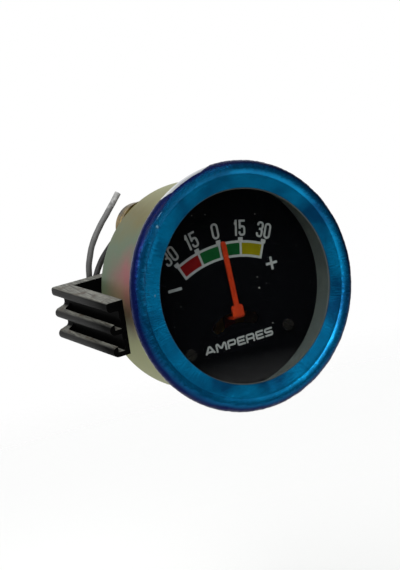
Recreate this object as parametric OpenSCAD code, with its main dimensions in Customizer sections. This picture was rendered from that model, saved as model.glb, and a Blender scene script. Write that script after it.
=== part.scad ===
// Centre-zero moving-iron ammeter for a 52 mm panel hole.
// The dial faces -Y, +Z is up and +X is to the right of somebody who reads the dial.
// The origin is on the axis of the can, in the plane where the bezel seats on the panel.

/* [Bezel] */
// Reach of the bezel's rim outside the can's wall
rim_over = 3.45; // [3:0.05:4.2]
// Radius of the round bead pressed into the bezel
bead_r = 1.75; // [1.5:0.05:1.9]
// Depth of the bead's centre in front of the panel seat
bead_depth = 1.4; // [1.3:0.05:1.7]
// Distance from the can's wall in to the opening that shows the dial
lip_in = 3.25; // [2.4:0.05:4.6]
// Depth of the lip's front edge in front of the panel seat
lip_depth = 2.35; // [2.3:0.05:2.8]
// Sheet thickness of the bezel
bezel_t = 0.45; // [0.35:0.05:0.5]
// Thickness of the protective film on the bezel
film_t = 0.1; // [0.06:0.01:0.15]
// Thickness of the flat glass
lens_t = 1.5; // [1.2:0.1:1.6]

/* [Can] */
// Outside radius of the drawn can
can_r = 26.05; // [25.8:0.05:26.15]
// Sheet thickness of the can
can_t = 0.4; // [0.3:0.05:0.5]
// Outside radius of the edge between wall and floor
can_edge_r = 1.2; // [0.8:0.1:1.6]
// Width of the flange that the bezel is rolled over
flange_w = 1.95; // [1.5:0.05:2]

/* [Dial] */
// Depth of the dial's face behind the panel seat
dial_depth = 7.5; // [7:0.1:8]
// Thickness of the dial plate
dial_t = 0.5; // [0.4:0.05:0.8]
// Wall of the grey ring between glass and dial
spacer_t = 0.25; // [0.2:0.05:0.6]
// Distance from the can's wall to the pointer's pivot
pivot_in = 7.8; // [7.6:0.05:8.6]
// Angle from zero to the last mark of the scale
scale_angle = 24.7; // [20:0.1:26]
// Angle from zero to the middle mark of each side
half_angle = 12.1; // [9:0.1:13]
// Inside radius of the scale band, from the pivot
band_in = 24.65; // [24:0.05:25.5]
// Width of the scale band
band_w = 4; // [3:0.05:4.3]
// Width of the band's white border lines
line_w = 0.6; // [0.4:0.05:0.8]
// Width of the tick that stands on the band at each mark
tick_w = 1.25; // [0.8:0.05:1.6]
// Height of the tick above the band
tick_h = 0.75; // [0.5:0.05:1]
// Half of the distance between the two dial screws
dial_screw_x = 13.8; // [13:0.1:14.2]
// Height of the dial screws below the axis
dial_screw_drop = 13.5; // [12.8:0.1:14]

/* [Pointer] */
// Depth of the pointer's front face behind the panel seat
pointer_depth = 5; // [4:0.1:5.4]
// Radius from the pivot to the pointer's tip
pointer_r = 29.1; // [27:0.1:29.4]
// Width of the pointer's arm
arm_w = 1.2; // [0.9:0.05:1.4]
// Width of the tab that goes back through the dial
tab_w = 2.95; // [2.4:0.05:3.2]
// Radius from the pivot to the tab's top edge
tab_top = 13.5; // [13:0.1:16]
// Radius from the pivot to the underside of the strip through the dial
strip_r = 10.2; // [9.8:0.05:10.4]
// Thickness of the pointer's sheet
pointer_t = 0.5; // [0.4:0.05:0.6]
// Depth of the pointer's stem behind the panel seat
stem_depth = 10.6; // [10.2:0.1:10.8]
// Travel of the pointer to each side of zero
pointer_swing = 26; // [25:0.5:28]

/* [Movement] */
// Radius of the pointer's staff
staff_r = 0.6; // [0.5:0.05:0.8]
// Half length of the iron vane
vane_r = 4.5; // [3.6:0.1:4.8]
// Inside radius of the magnet
magnet_in = 5.3; // [5.2:0.05:5.5]
// Outside radius of the magnet
magnet_out = 7; // [6.6:0.05:7.1]
// Length of the magnet along the staff
magnet_len = 2.4; // [1.8:0.1:3]
// Thickness of the bus bar between the terminals
bus_t = 1; // [0.8:0.1:1.4]
// Width of the bus bar's arms
bus_w = 7; // [5:0.1:8]
// Thickness of the chassis plate on the can's floor
chassis_t = 2.6; // [2.2:0.1:3]
// Space between the iron vane's hub and the rear bearing
hub_gap = 2; // [1:0.1:4]

/* [Terminals] */
// Half of the distance between the terminal studs
stud_x = 14; // [13:0.1:15]
// Height of the terminal studs above the axis
stud_z = 2; // [1.5:0.1:2.5]
// Radius of the terminal studs
stud_r = 2.5; // [2:0.05:2.6]
// Length of the free stud end that takes a cable eye
stud_free = 5.7; // [5:0.1:8]
// Width across the flats of the terminal nuts
nut_af = 8; // [7:0.1:8.4]
// Thickness of the thin nuts on the can
can_nut_t = 1.8; // [1.4:0.1:2]
// Thickness of the nuts that hold the clamp
clamp_nut_t = 4; // [3:0.1:5]

/* [Clamp] */
// Distance from the panel seat to the feet of the slack clamp
panel_space = 4.3; // [4:0.05:6]
// Height of the clamp's legs
leg_h = 13.2; // [13:0.1:14]
// Thickness of a leg over its ribs
leg_t = 4.2; // [4:0.1:4.8]
// Distance from the axis to the outside of a leg's root
leg_x = 35.9; // [35.4:0.1:37]
// Toe-in of the legs toward the panel
toe_in = 6.8; // [4:0.1:7]
// Height of the ribs above the leg's web
rib_h = 2.8; // [2.4:0.1:3]
// Height of a rib at its root
rib_w = 2.8; // [2.4:0.1:3]
// Distance between neighbouring ribs
rib_pitch = 5.3; // [5.1:0.05:5.4]
// Height of the lip along the leg's top edge
lip_w = 2.3; // [2:0.1:2.5]
// Width of the cored channels in the ribs' top faces
core_w = 1.7; // [1.4:0.1:1.8]
// Depth of the cored channels
core_depth = 1.6; // [1.2:0.1:1.7]
// Thickness of the clamp's cross plate
plate_t = 3; // [2.6:0.1:3.4]
// Tilt of the slack clamp on its studs
clamp_tilt = 10; // [6:0.5:10]
// Play between the clamp and the nuts on the can
clamp_gap = 0.7; // [0.4:0.05:1.5]

/* [Lamp] */
// Distance of the lamp to the left of the axis
lamp_x = 9.8; // [9:0.1:10]
// Height of the lamp above the axis
lamp_z = 17.3; // [16.8:0.1:17.4]
// Radius of the lamp holder's flange
lamp_flange_r = 6.4; // [6:0.1:6.6]
// Radius of the lamp hole in the can
lamp_hole_r = 4.8; // [4.6:0.05:4.9]
// Length of the lamp holder behind the can
lamp_out = 5.3; // [4.6:0.1:6]
// Diameter of the lamp's lead
lead_d = 1.6; // [1.2:0.1:1.8]

/* [Hidden] */
$fn = 96;

// Clearances
slip = 0.05;       // between pieces that slide into each other
run = 0.03;        // radial play of the staff in its bushes
thread_gap = 0.02; // between a stud and its nut
air = 0.3;         // between pieces that move past each other

rim_r = can_r + rim_over;
flange_r = can_r + flange_w;
lip_r = can_r - lip_in;
bead_c = [rim_r - bead_r, -bead_depth];
bead_start = -139;
bead_end = 42;
seat_corner = rim_r - 0.9;
crimp_r = can_r + 0.2;
lens_front = -lip_depth + bezel_t + 0.02;
lens_rear = lens_front + lens_t;
can_in = can_r - can_t;
flange_front = -bezel_t - can_t;
lens_r = can_in - 0.1;
spacer_out = can_in - slip;
dial_back = dial_depth + dial_t;
slot_r = strip_r + pointer_t / 2 - 0.25;
slot_w = 2.8;
pivot_z = pivot_in - can_r;
base_r = can_in - 0.35;
base_half = 19.5;
base_top = stud_z + 6.5;
seal_w = 1.2;
band_out = band_in + band_w;
ink_t = 0.06;
screw_r = 0.95;
screw_len = 4;
post_r = 2.4;
bend_r = 0.4;
hub_r = 2;
tail_r = 4.6;
lobe_r = 2.2;
weight_t = 1.2;
weight_front = stem_depth + pointer_t;
bridge_t = 1;
bridge_gap = 1;
tab_len = 1.5;
bridge_front = weight_front + weight_t + air;
bridge_h = 5;
bridge_x = magnet_out + 0.6;
bush_r = 1.4;
boss_r = 2.4;
boss_len = 0.9;
bush_out = 0.2;
magnet_front = bridge_front + bridge_t + bridge_gap;
vane_t = 1.2;
vane_h = 3.6;
cradle_half = 85;
vane_front = magnet_front + (magnet_len - vane_t) / 2;
hub_out = 0.4;
boss_front = vane_front + vane_t + hub_out + hub_gap + bush_out;
base_front = boss_front + boss_len + bus_t;
can_floor = base_front + chassis_t;
can_len = can_floor + can_t;
bus_front = base_front - bus_t;
stud_head_t = 1.5;
bush_flange_t = 0.6;
bush_hole_r = stud_r + 1;
washer_t = 0.8;
washer_r = 5;
nut_corner = nut_af / 2 / cos(30);
recess = 1.2;
clamp_depth = can_len + bush_flange_t + can_nut_t + clamp_gap
    + (plate_t - recess) / cos(clamp_tilt) + nut_corner * tan(clamp_tilt);
leg_len = (clamp_depth - panel_space - leg_h / 2 * sin(clamp_tilt)) / (cos(toe_in) * cos(clamp_tilt));
leg_top = leg_h / 2;
rib_z = [for (i = [0, 1]) rib_w / 2 - leg_top + i * rib_pitch];
clamp_nut_front = clamp_depth + washer_t * cos(clamp_tilt) + nut_corner * sin(clamp_tilt) + slip;
neck_front = clamp_nut_front + clamp_nut_t + 0.7;
neck_len = 0.8;
stud_end = neck_front + neck_len + stud_free;
lead_exit = can_len + lamp_out;
holder_in = 5;
bulb_len = 7;
disc_t = 2.5;
cap_front = can_floor - holder_in;
bulb_tip = cap_front - bulb_len;

// Route of the lamp's lead, from the lamp holder to its free end
lead_path = [
    [-9.8, 29.2, 17.3], [-9.8, 31.0, 17.3], [-9.8, 33.0, 17.2], [-10.0, 35.0, 16.9],
    [-10.4, 37.0, 16.4], [-11.0, 38.9, 15.5], [-12.0, 40.5, 14.2], [-13.1, 41.8, 12.8],
    [-14.4, 42.6, 11.3], [-15.7, 42.9, 9.8], [-16.9, 42.9, 8.2], [-18.1, 42.4, 6.7],
    [-19.5, 41.4, 5.6], [-20.8, 40.0, 5.1], [-21.7, 38.5, 5.5], [-22.1, 37.3, 6.9],
    [-22.0, 36.8, 8.8], [-21.6, 36.6, 10.7], [-20.8, 36.5, 12.8], [-19.7, 36.4, 15.1],
    [-18.2, 36.4, 17.2], [-16.3, 36.3, 19.5], [-14.2, 36.3, 21.6], [-11.9, 36.3, 23.9],
    [-9.6, 36.3, 26.3]
];

// Points of an arc around a centre
function arc(c, r, a0, a1, n) = [
    for (i = [0:n]) c + r * [cos(a0 + (a1 - a0) * i / n), sin(a0 + (a1 - a0) * i / n)]
];
function reverse(list) = [for (i = [len(list) - 1:-1:0]) list[i]];

// A profile of radius and depth turned about the gauge's axis
module lathe() {
    rotate([-90, 0, 0])
        rotate_extrude()
            children();
}

// A flat shape of X and Z that starts at depth y and is t thick
module slab(y, t) {
    translate([0, y + t, 0])
        rotate([90, 0, 0])
            linear_extrude(t)
                children();
}

// A round bar along Y
module bar(x, z, r, y0, y1) {
    translate([x, y0, z])
        rotate([-90, 0, 0])
            cylinder(r = r, h = y1 - y0);
}

// The same thing at the left and the right terminal
module at_studs() {
    for (side = [-1, 1])
        translate([side * stud_x, 0, stud_z])
            children();
}

// A hexagonal nut along Y with a plain bore
module nut(af, t, bore_r) {
    rotate([-90, 0, 0])
        difference() {
            cylinder(r = af / 2 / cos(30), h = t, $fn = 6);
            translate([0, 0, -1])
                cylinder(r = bore_r, h = t + 2);
        }
}

// A ring sector about the pivot, up to angle a on both sides of angle mid
module sector(r0, r1, mid, a) {
    intersection() {
        difference() {
            circle(r1, $fn = 180);
            circle(r0, $fn = 180);
        }
        rotate(-mid)
            polygon([[0, 0], 60 * [-sin(a), cos(a)], [0, 60], 60 * [sin(a), cos(a)]]);
    }
}

// A radial bar about the pivot
module spoke(angle, w, r0, r1) {
    rotate(-angle)
        translate([-w / 2, r0])
            square([w, r1 - r0]);
}

// ---------- bezel and front ----------

function bezel_front(d) = concat(
    [[lip_r + bezel_t / 2, -lip_depth + d]],
    arc(bead_c, bead_r - d, bead_start, bead_end, 22)
);

// Pressed ring: lip, sloped band, round bead and the edge rolled over the can's flange
module bezel_ring() {
    color("silver")
        lathe()
            union() {
                polygon(concat(
                    bezel_front(0),
                    [[seat_corner, 0], [crimp_r, 0], [crimp_r, -bezel_t], [seat_corner - 0.15, -bezel_t]],
                    reverse(bezel_front(bezel_t))
                ));
                translate([lip_r + bezel_t / 2, -lip_depth + bezel_t / 2])
                    circle(bezel_t / 2, $fn = 24);
            }
}

// Blue film that still covers the front of the ring
module bezel_film() {
    color("dodgerblue")
        lathe()
            polygon(concat(bezel_front(0), reverse(bezel_front(-film_t))));
}

module lens() {
    color([0.8, 0.9, 0.95, 0.3])
        lathe()
            polygon([
                [0, lens_front], [lens_r - 0.2, lens_front], [lens_r, lens_front + 0.2],
                [lens_r, lens_rear], [0, lens_rear]
            ]);
}

// Rubber ring around the glass, on the can's flange
module lens_seal() {
    color("dimgray")
        lathe()
            translate([can_in, flange_front - seal_w])
                square(seal_w);
}

// Grey ring that holds the glass and the dial apart
module spacer_ring() {
    color("gray")
        lathe()
            translate([spacer_out - spacer_t, lens_rear])
                square([spacer_t, dial_depth - lens_rear]);
}

// ---------- can ----------

// Drawn cup with an outward flange and holes for the terminals and the lamp
module can() {
    color("darkkhaki")
        difference() {
            lathe()
                polygon(concat(
                    [[0, can_floor], [can_in - can_edge_r + can_t, can_floor]],
                    reverse(arc([can_r - can_edge_r, can_len - can_edge_r],
                        can_edge_r - can_t, 0, 89, 8)),
                    [
                        [can_in, flange_front], [flange_r, flange_front],
                        [flange_r, -bezel_t], [can_r, -bezel_t]
                    ],
                    arc([can_r - can_edge_r, can_len - can_edge_r], can_edge_r, 0, 90, 8),
                    [[0, can_len]]
                ));
            at_studs()
                bar(0, 0, bush_hole_r, can_floor - 1, can_len + 1);
            bar(-lamp_x, lamp_z, lamp_hole_r, can_floor - 1, can_len + 1);
        }
}

// ---------- dial ----------

// Outline of the curved slot: two arcs about the pivot with round ends
function dial_slot(r, w, end) = concat(
    arc([0, 0], r + w, 90 + end, 90 - end, 24),
    arc(r * [sin(end), cos(end)], w, 75 - end, -75 - end, 10),
    arc([0, 0], r - w, 90 - end, 90 + end, 24),
    arc(r * [-sin(end), cos(end)], w, 255 + end, 105 + end, 10)
);

// Flat black plate with the curved slot for the pointer
module dial_plate() {
    color([0.05, 0.05, 0.06])
        slab(dial_depth, dial_t)
            difference() {
                circle(spacer_out, $fn = 180);
                translate([0, pivot_z])
                    polygon(dial_slot(slot_r, slot_w / 2, pointer_swing + 3.5));
                for (side = [-1, 1])
                    translate([side * dial_screw_x, -dial_screw_drop])
                        circle(screw_r + 0.1, $fn = 32);
            }
}

// Two slotted screws that hold the dial on the chassis posts
module dial_screws() {
    head_r = 1.4;
    head_t = 0.8;
    color("black")
        for (side = [-1, 1])
            translate([side * dial_screw_x, 0, -dial_screw_drop])
                difference() {
                    union() {
                        bar(0, 0, head_r, dial_depth - head_t, dial_depth);
                        bar(0, 0, screw_r, dial_depth, dial_back + screw_len);
                    }
                    rotate([0, side * 25 + 10, 0])
                        translate([-head_r - 1, dial_depth - head_t - 1, -0.2])
                            cube([2 * head_r + 2, 1.35, 0.4]);
                }
}

module on_dial(level, t) {
    translate([0, 0, pivot_z])
        slab(dial_depth - level - t, t)
            children();
}

marks = [-scale_angle, -half_angle, 0, half_angle, scale_angle];

// White base print: the band with its border lines and the five ticks
module scale_band() {
    color("white")
        on_dial(0, ink_t) {
            sector(band_in, band_out, 0, scale_angle);
            for (angle = marks) {
                spoke(angle, line_w, band_in, band_out);
                spoke(angle, tick_w, band_out - 0.2, band_out + tick_h);
            }
        }
}

// One colour field between two marks, printed over the white base
module zone(first, last) {
    on_dial(ink_t, ink_t / 2)
        difference() {
            sector(band_in + line_w, band_out - line_w, (first + last) / 2, (last - first) / 2);
            spoke(first, line_w, band_in, band_out);
            spoke(last, line_w, band_in, band_out);
        }
}

module red_zone() {
    color("darkred")
        zone(marks[0], marks[1]);
}

module green_zones() {
    color("green")
        for (i = [1, 2])
            zone(marks[i], marks[i + 1]);
}

module yellow_zone() {
    color("gold")
        zone(marks[3], marks[4]);
}

// ---------- movement ----------

// Moulded base on the can's floor: dial posts, rear bearing boss and magnet cradle
module chassis() {
    cradle_y = magnet_front + magnet_len;
    color("dimgray")
        difference() {
            union() {
                slab(base_front, chassis_t)
                    intersection() {
                        circle(base_r, $fn = 180);
                        translate([-base_half, -can_r])
                            square([2 * base_half, can_r + base_top]);
                    }
                for (side = [-1, 1])
                    bar(side * dial_screw_x, -dial_screw_drop, post_r, dial_back, base_front);
                bar(0, pivot_z, boss_r, boss_front, base_front);
                translate([0, 0, pivot_z])
                    slab(cradle_y, base_front - cradle_y)
                        cradle_shape();
            }
            for (side = [-1, 1])
                bar(side * dial_screw_x, -dial_screw_drop, screw_r + thread_gap, dial_back - 1, dial_back + screw_len + 0.5);
            at_studs()
                bar(0, 0, stud_r + slip, base_front - 1, can_len);
            bar(0, pivot_z, bush_r, boss_front - 1, base_front + 0.8);
            for (side = [-1, 1])
                translate([side * (bridge_x + bridge_t / 2), base_front, pivot_z])
                    translate([-bridge_t / 2 - slip, -1, -bridge_h / 4 - slip])
                        cube([bridge_t + 2 * slip, tab_len + 1.1, bridge_h / 2 + 2 * slip]);
        }
}

// The lower half ring that the magnet and its cradle share
module cradle_shape() {
    rotate(180)
        sector(magnet_in, magnet_out, 0, cradle_half);
}

// Brass bridge with the front bearing and two tabs staked into the chassis
module pivot_bridge() {
    color("goldenrod")
        translate([0, 0, pivot_z])
            difference() {
                union() {
                    translate([-bridge_x - bridge_t, bridge_front, -bridge_h / 2])
                        cube([2 * (bridge_x + bridge_t), bridge_t, bridge_h]);
                    for (side = [-1, 1])
                        translate([side * (bridge_x + bridge_t / 2) - bridge_t / 2, bridge_front, 0]) {
                            translate([0, 0, -bridge_h / 2])
                                cube([bridge_t, base_front - bridge_front, bridge_h]);
                            translate([0, 0, -bridge_h / 4])
                                cube([bridge_t, base_front - bridge_front + tab_len, bridge_h / 2]);
                        }
                }
                bar(0, 0, bush_r, bridge_front - 1, bridge_front + bridge_t + 1);
            }
}

// Front bush in the bridge and rear bush in the chassis boss
module pivot_bushes() {
    color("gold")
        for (span = [
            [bridge_front - bush_out, bridge_front + bridge_t + bush_out],
            [boss_front - bush_out, base_front + 0.8]
        ])
            translate([0, 0, pivot_z])
                difference() {
                    bar(0, 0, bush_r, span[0], span[1]);
                    bar(0, 0, staff_r + run, span[0] - 1, span[1] + 1);
                }
}

// Half-ring magnet that brings the vane back to zero
module magnet() {
    color("slategray")
        translate([0, 0, pivot_z])
            slab(magnet_front, magnet_len)
                cradle_shape();
}

// Stamped conductor from terminal to terminal, past the vane
module bus_bar() {
    reach = [stud_x, stud_z - pivot_z];
    length = norm(reach);
    lean = atan2(reach[0], reach[1]);
    color("peru")
        translate([0, 0, pivot_z])
            slab(bus_front, bus_t)
                difference() {
                    union() {
                        circle(magnet_in - 0.25);
                        for (side = [-1, 1]) {
                            rotate(side * lean)
                                translate([-bus_w / 2, 0])
                                    square([bus_w, length]);
                            translate([side * reach[0], reach[1]])
                                circle(washer_r);
                        }
                    }
                    circle(boss_r + 0.5);
                    for (side = [-1, 1])
                        translate([side * reach[0], reach[1]])
                            circle(stud_r + slip);
                }
}

// ---------- terminals ----------

// Two studs: hexagonal head inside, thread, neck and a free end for a cable eye
module terminal_studs() {
    free = neck_front + neck_len;
    color("goldenrod")
        at_studs() {
            translate([0, bus_front - stud_head_t, 0])
                rotate([-90, 0, 0])
                    cylinder(r = nut_corner, h = stud_head_t, $fn = 6);
            bar(0, 0, stud_r, bus_front, neck_front);
            bar(0, 0, stud_r - 0.4, neck_front, free);
            bar(0, 0, stud_r, free, stud_end - 0.5);
            translate([0, stud_end - 0.5, 0])
                rotate([-90, 0, 0])
                    cylinder(r1 = stud_r, r2 = stud_r - 0.5, h = 0.5);
        }
}

// Shouldered fibre bushes that insulate the studs from the can
module stud_bushes() {
    color("saddlebrown")
        at_studs()
            difference() {
                union() {
                    bar(0, 0, bush_hole_r - slip, can_floor, can_len);
                    bar(0, 0, washer_r, can_len, can_len + bush_flange_t);
                }
                bar(0, 0, stud_r + slip, can_floor - 1, can_len + 2);
            }
}

// Thin nuts that clamp the movement into the can
module can_nuts() {
    color("goldenrod")
        at_studs()
            translate([0, can_len + bush_flange_t, 0])
                nut(nut_af, can_nut_t, stud_r + thread_gap);
}

// ---------- lamp ----------

module at_lamp() {
    translate([-lamp_x, 0, lamp_z])
        children();
}

// Spun brass holder pushed into the can's lamp hole
module lamp_holder() {
    wall = 0.5;
    body_r = lamp_hole_r - slip;
    color("darkgoldenrod")
        at_lamp()
            lathe()
                difference() {
                    polygon([
                        [0, cap_front], [body_r, cap_front], [body_r, can_len],
                        [lamp_flange_r, can_len], [lamp_flange_r, can_len + 1],
                        [lamp_flange_r - 0.7, can_len + 1.2], [lamp_flange_r - 0.7, can_len + 1.7],
                        [lamp_flange_r - 0.2, can_len + 2], [lamp_flange_r - 0.2, lead_exit - 0.9],
                        [lamp_flange_r - 1, lead_exit - 0.2], [0, lead_exit - 0.2]
                    ]);
                    translate([-1, cap_front - 1])
                        square([body_r - wall + 1, lead_exit - cap_front + 2]);
                }
}

// Fibre disc that carries the centre contact and the lead
module lamp_insulator() {
    color("saddlebrown")
        at_lamp()
            lathe()
                polygon([
                    [lead_d / 2, lead_exit - disc_t], [lamp_hole_r - 0.6, lead_exit - disc_t],
                    [lamp_hole_r - 0.6, lead_exit - 0.3], [2.2, lead_exit],
                    [lead_d / 2, lead_exit]
                ]);
}

// Small bayonet lamp: metal cap and round glass
module lamp_bulb() {
    cap_r = lamp_hole_r - 0.65;
    glass_r = 3.3;
    color("white")
        at_lamp()
            lathe()
                polygon(concat(
                    arc([0, bulb_tip + glass_r], glass_r, -90, 0, 8),
                    [
                        [glass_r, cap_front - 1], [cap_r, cap_front],
                        [cap_r, lead_exit - disc_t - 0.1], [0, lead_exit - disc_t - 0.1]
                    ]
                ));
}

// Frame of a ring across the lead's route: right and up directions
function unit(v) = v / norm(v);
function heading(path, i) = unit(path[min(i + 1, len(path) - 1)] - path[max(i - 1, 0)]);
function side_of(t) = unit(cross(t, [0.3, 0.2, 1]));

// Insulated lead of the lamp, one tube along its route
module lamp_lead() {
    sides = 8;
    rings = len(lead_path);
    points = [
        for (i = [0:rings - 1])
            let (t = heading(lead_path, i), u = side_of(t), v = cross(t, u))
                for (k = [0:sides - 1])
                    lead_path[i] + lead_d / 2 * (cos(360 * k / sides) * u + sin(360 * k / sides) * v)
    ];
    walls = [
        for (i = [0:rings - 2], k = [0:sides - 1])
            let (a = i * sides + k, b = i * sides + (k + 1) % sides)
                [a, a + sides, b + sides, b]
    ];
    color("gray")
        polyhedron(points, concat(
            [[for (k = [0:sides - 1]) k]],
            walls,
            [[for (k = [sides - 1:-1:0]) (rings - 1) * sides + k]]
        ));
}

// ---------- pointer ----------

// Quarter bend of the pointer's sheet along X, about depth y and height z
module sheet_bend(y, z, quarter) {
    translate([-tab_w / 2, y, z])
        rotate([quarter, 0, 0])
            intersection() {
                rotate([0, 90, 0])
                    difference() {
                        cylinder(r = bend_r + pointer_t, h = tab_w, $fn = 48);
                        translate([0, 0, -1])
                            cylinder(r = bend_r, h = tab_w + 2, $fn = 48);
                    }
                cube([tab_w, 2, 2]);
            }
}

// Stamped pointer: arm, tab, strip through the dial, stem and balance tail
module pointer() {
    plate_foot = strip_r + pointer_t + bend_r;
    tip_r = arm_w / 2;
    corner = 0.6;
    color("orangered")
        translate([0, 0, pivot_z]) {
            difference() {
                slab(pointer_depth, pointer_t) {
                    translate([-tip_r, tab_top - 1])
                        square([arm_w, pointer_r - tip_r - tab_top + 1]);
                    translate([0, pointer_r - tip_r])
                        circle(tip_r, $fn = 32);
                    translate([-tab_w / 2, plate_foot])
                        square([tab_w, tab_top - corner - plate_foot]);
                    translate([-tab_w / 2 + corner, plate_foot])
                        square([tab_w - 2 * corner, tab_top - plate_foot]);
                    for (side = [-1, 1])
                        translate([side * (tab_w / 2 - corner), tab_top - corner])
                            circle(corner, $fn = 32);
                }
                translate([-0.2, pointer_depth - 1, tab_top + 0.4])
                    cube([0.4, 1.15, pointer_r - tab_top - 1.4]);
            }
            sheet_bend(pointer_depth + pointer_t + bend_r, plate_foot, 180);
            translate([-tab_w / 2, pointer_depth + pointer_t + bend_r, strip_r])
                cube([tab_w, stem_depth - pointer_depth - pointer_t - 2 * bend_r, pointer_t]);
            sheet_bend(stem_depth - bend_r, strip_r - bend_r, 0);
            difference() {
                slab(stem_depth, pointer_t) {
                    polygon([
                        [-tab_w / 2, strip_r - bend_r], [tab_w / 2, strip_r - bend_r],
                        [1.1, 0], [0.9, -tail_r], [-0.9, -tail_r], [-1.1, 0]
                    ]);
                    circle(hub_r);
                    translate([0, -tail_r])
                        circle(lobe_r);
                }
                bar(0, 0, staff_r, stem_depth - 1, stem_depth + 2);
            }
        }
}

// Brass weight on the pointer's tail
module balance_weight() {
    color("goldenrod")
        bar(0, pivot_z - tail_r, lobe_r, weight_front, weight_front + weight_t);
}

// Steel staff that carries pointer and vane in the two bushes
module pointer_staff() {
    color("lightsteelblue")
        bar(0, pivot_z, staff_r, stem_depth - 0.3, base_front + 0.6);
}

// Soft-iron vane on its hub
module armature() {
    color("slategray")
        translate([0, 0, pivot_z])
            difference() {
                union() {
                    slab(vane_front, vane_t)
                        intersection() {
                            circle(vane_r);
                            translate([-vane_r, -vane_h / 2])
                                square([2 * vane_r, vane_h]);
                        }
                    bar(0, 0, 1.5, vane_front - hub_out, vane_front + vane_t + hub_out);
                }
                bar(0, 0, staff_r, vane_front - 2, vane_front + vane_t + 2);
            }
}

// ---------- clamp ----------

// Everything that follows the slack clamp's tilt
module tilted() {
    translate([0, clamp_depth, stud_z])
        rotate([clamp_tilt, 0, 0])
            children();
}

// Section of a leg: X is 0 at the ribs' crests and negative toward the can
module leg_section() {
    web_x = -rib_h;
    nose_r = rib_w / 2 - 0.15;
    lip_z = leg_top - lip_w;
    translate([-leg_t, -leg_top])
        square([leg_t - rib_h, leg_h]);
    // lip along the top edge
    polygon(concat(
        [[web_x - 0.2, leg_top]],
        arc([-0.6, leg_top - 0.6], 0.6, 90, 0, 6),
        arc([-1, lip_z + 1], 1, 0, -90, 8),
        arc([web_x + 0.3, lip_z - 0.3], 0.3, 90, 180, 4),
        [[web_x - 0.2, lip_z - 0.3]]
    ));
    // two ribs with round noses, sloped tops and fillets at the root
    for (z = rib_z)
        polygon(concat(
            [[web_x - 0.2, z + rib_w / 2 + 0.9]],
            arc([web_x + 0.9, z + rib_w / 2 + 0.9], 0.9, 180, 265, 8),
            arc([-nose_r, z + nose_r - rib_w / 2], nose_r, 85, -90, 16),
            [[web_x - 0.2, z - rib_w / 2]]
        ));
}

// Channel cored into a rib's top face, open at the leg's foot and round at its root
module core_channel(z) {
    start = 2.4 + core_w / 2;
    floor_z = z + rib_w / 2 - core_depth;
    tall = core_depth + 0.95;
    translate([-rib_h - 0.2, -leg_len - 2, floor_z])
        cube([core_w, leg_len + 2 - start, tall]);
    translate([-rib_h - 0.2 + core_w / 2, -start, floor_z])
        cylinder(r = core_w / 2, h = tall, $fn = 32);
}

// The right-hand leg, with its root's outer edge on the origin
module leg() {
    intersection() {
        rotate([0, 0, -toe_in])
            difference() {
                translate([0, 1, 0])
                    rotate([90, 0, 0])
                        linear_extrude(leg_len + 2)
                            leg_section();
                for (z = rib_z)
                    core_channel(z);
            }
        translate([-leg_x, -leg_len * cos(toe_in), -leg_h])
            cube([2 * leg_x, leg_len * cos(toe_in), 2 * leg_h]);
    }
}

// Moulded clamp: cross plate and two ribbed legs that press on the panel
module clamp_bracket() {
    plate_half = leg_x - rib_h - 0.5;
    color([0.12, 0.12, 0.12])
        tilted()
            difference() {
                union() {
                    translate([-plate_half, -plate_t, -leg_top])
                        cube([2 * plate_half, plate_t, leg_h]);
                    translate([leg_x, 0, 0])
                        leg();
                    mirror([1, 0, 0])
                        translate([leg_x, 0, 0])
                            leg();
                }
                for (side = [-1, 1]) {
                    bar(side * stud_x, 0, stud_r + 0.8, -plate_t - 1, 1);
                    bar(side * stud_x, 0, nut_corner + 1, -plate_t - 1, recess - plate_t);
                }
            }
}

// Plain washers that lie on the clamp's rear face
module clamp_washers() {
    color("silver")
        tilted()
            for (side = [-1, 1])
                translate([side * stud_x, 0, 0])
                    difference() {
                        bar(0, 0, washer_r, 0, washer_t);
                        bar(0, 0, stud_r + 0.5, -1, washer_t + 1);
                    }
}

module clamp_nuts() {
    color("goldenrod")
        at_studs()
            translate([0, clamp_nut_front, 0])
                nut(nut_af, clamp_nut_t, stud_r + thread_gap);
}

bezel_ring();
bezel_film();
lens();
lens_seal();
spacer_ring();
can();
dial_plate();
dial_screws();
scale_band();
red_zone();
green_zones();
yellow_zone();
chassis();
pivot_bridge();
pivot_bushes();
magnet();
bus_bar();
terminal_studs();
stud_bushes();
can_nuts();
lamp_holder();
lamp_insulator();
lamp_bulb();
lamp_lead();
pointer();
balance_weight();
pointer_staff();
armature();
clamp_bracket();
clamp_washers();
clamp_nuts();
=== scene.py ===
"""Looks of a centre-zero panel ammeter: finishes, bezel film, dial print, lead and studio."""

import logging
import math
from dataclasses import dataclass, field
from enum import Enum
from typing import Sequence

import bmesh
import bpy
from mathutils import Matrix, Vector, noise


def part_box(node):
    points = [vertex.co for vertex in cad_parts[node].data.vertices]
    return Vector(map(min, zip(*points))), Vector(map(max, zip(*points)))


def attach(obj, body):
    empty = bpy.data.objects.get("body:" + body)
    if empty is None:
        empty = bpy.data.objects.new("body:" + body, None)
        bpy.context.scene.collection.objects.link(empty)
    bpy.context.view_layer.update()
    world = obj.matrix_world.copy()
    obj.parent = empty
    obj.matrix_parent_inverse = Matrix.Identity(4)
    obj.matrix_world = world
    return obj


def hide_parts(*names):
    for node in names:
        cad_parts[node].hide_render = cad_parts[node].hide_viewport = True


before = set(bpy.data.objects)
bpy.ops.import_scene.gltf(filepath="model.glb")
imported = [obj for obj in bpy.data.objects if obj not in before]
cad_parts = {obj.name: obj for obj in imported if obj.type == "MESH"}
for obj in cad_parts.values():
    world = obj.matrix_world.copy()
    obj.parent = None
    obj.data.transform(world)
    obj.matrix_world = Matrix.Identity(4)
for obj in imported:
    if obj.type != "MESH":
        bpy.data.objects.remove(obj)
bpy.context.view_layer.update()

MM = 0.001
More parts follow.
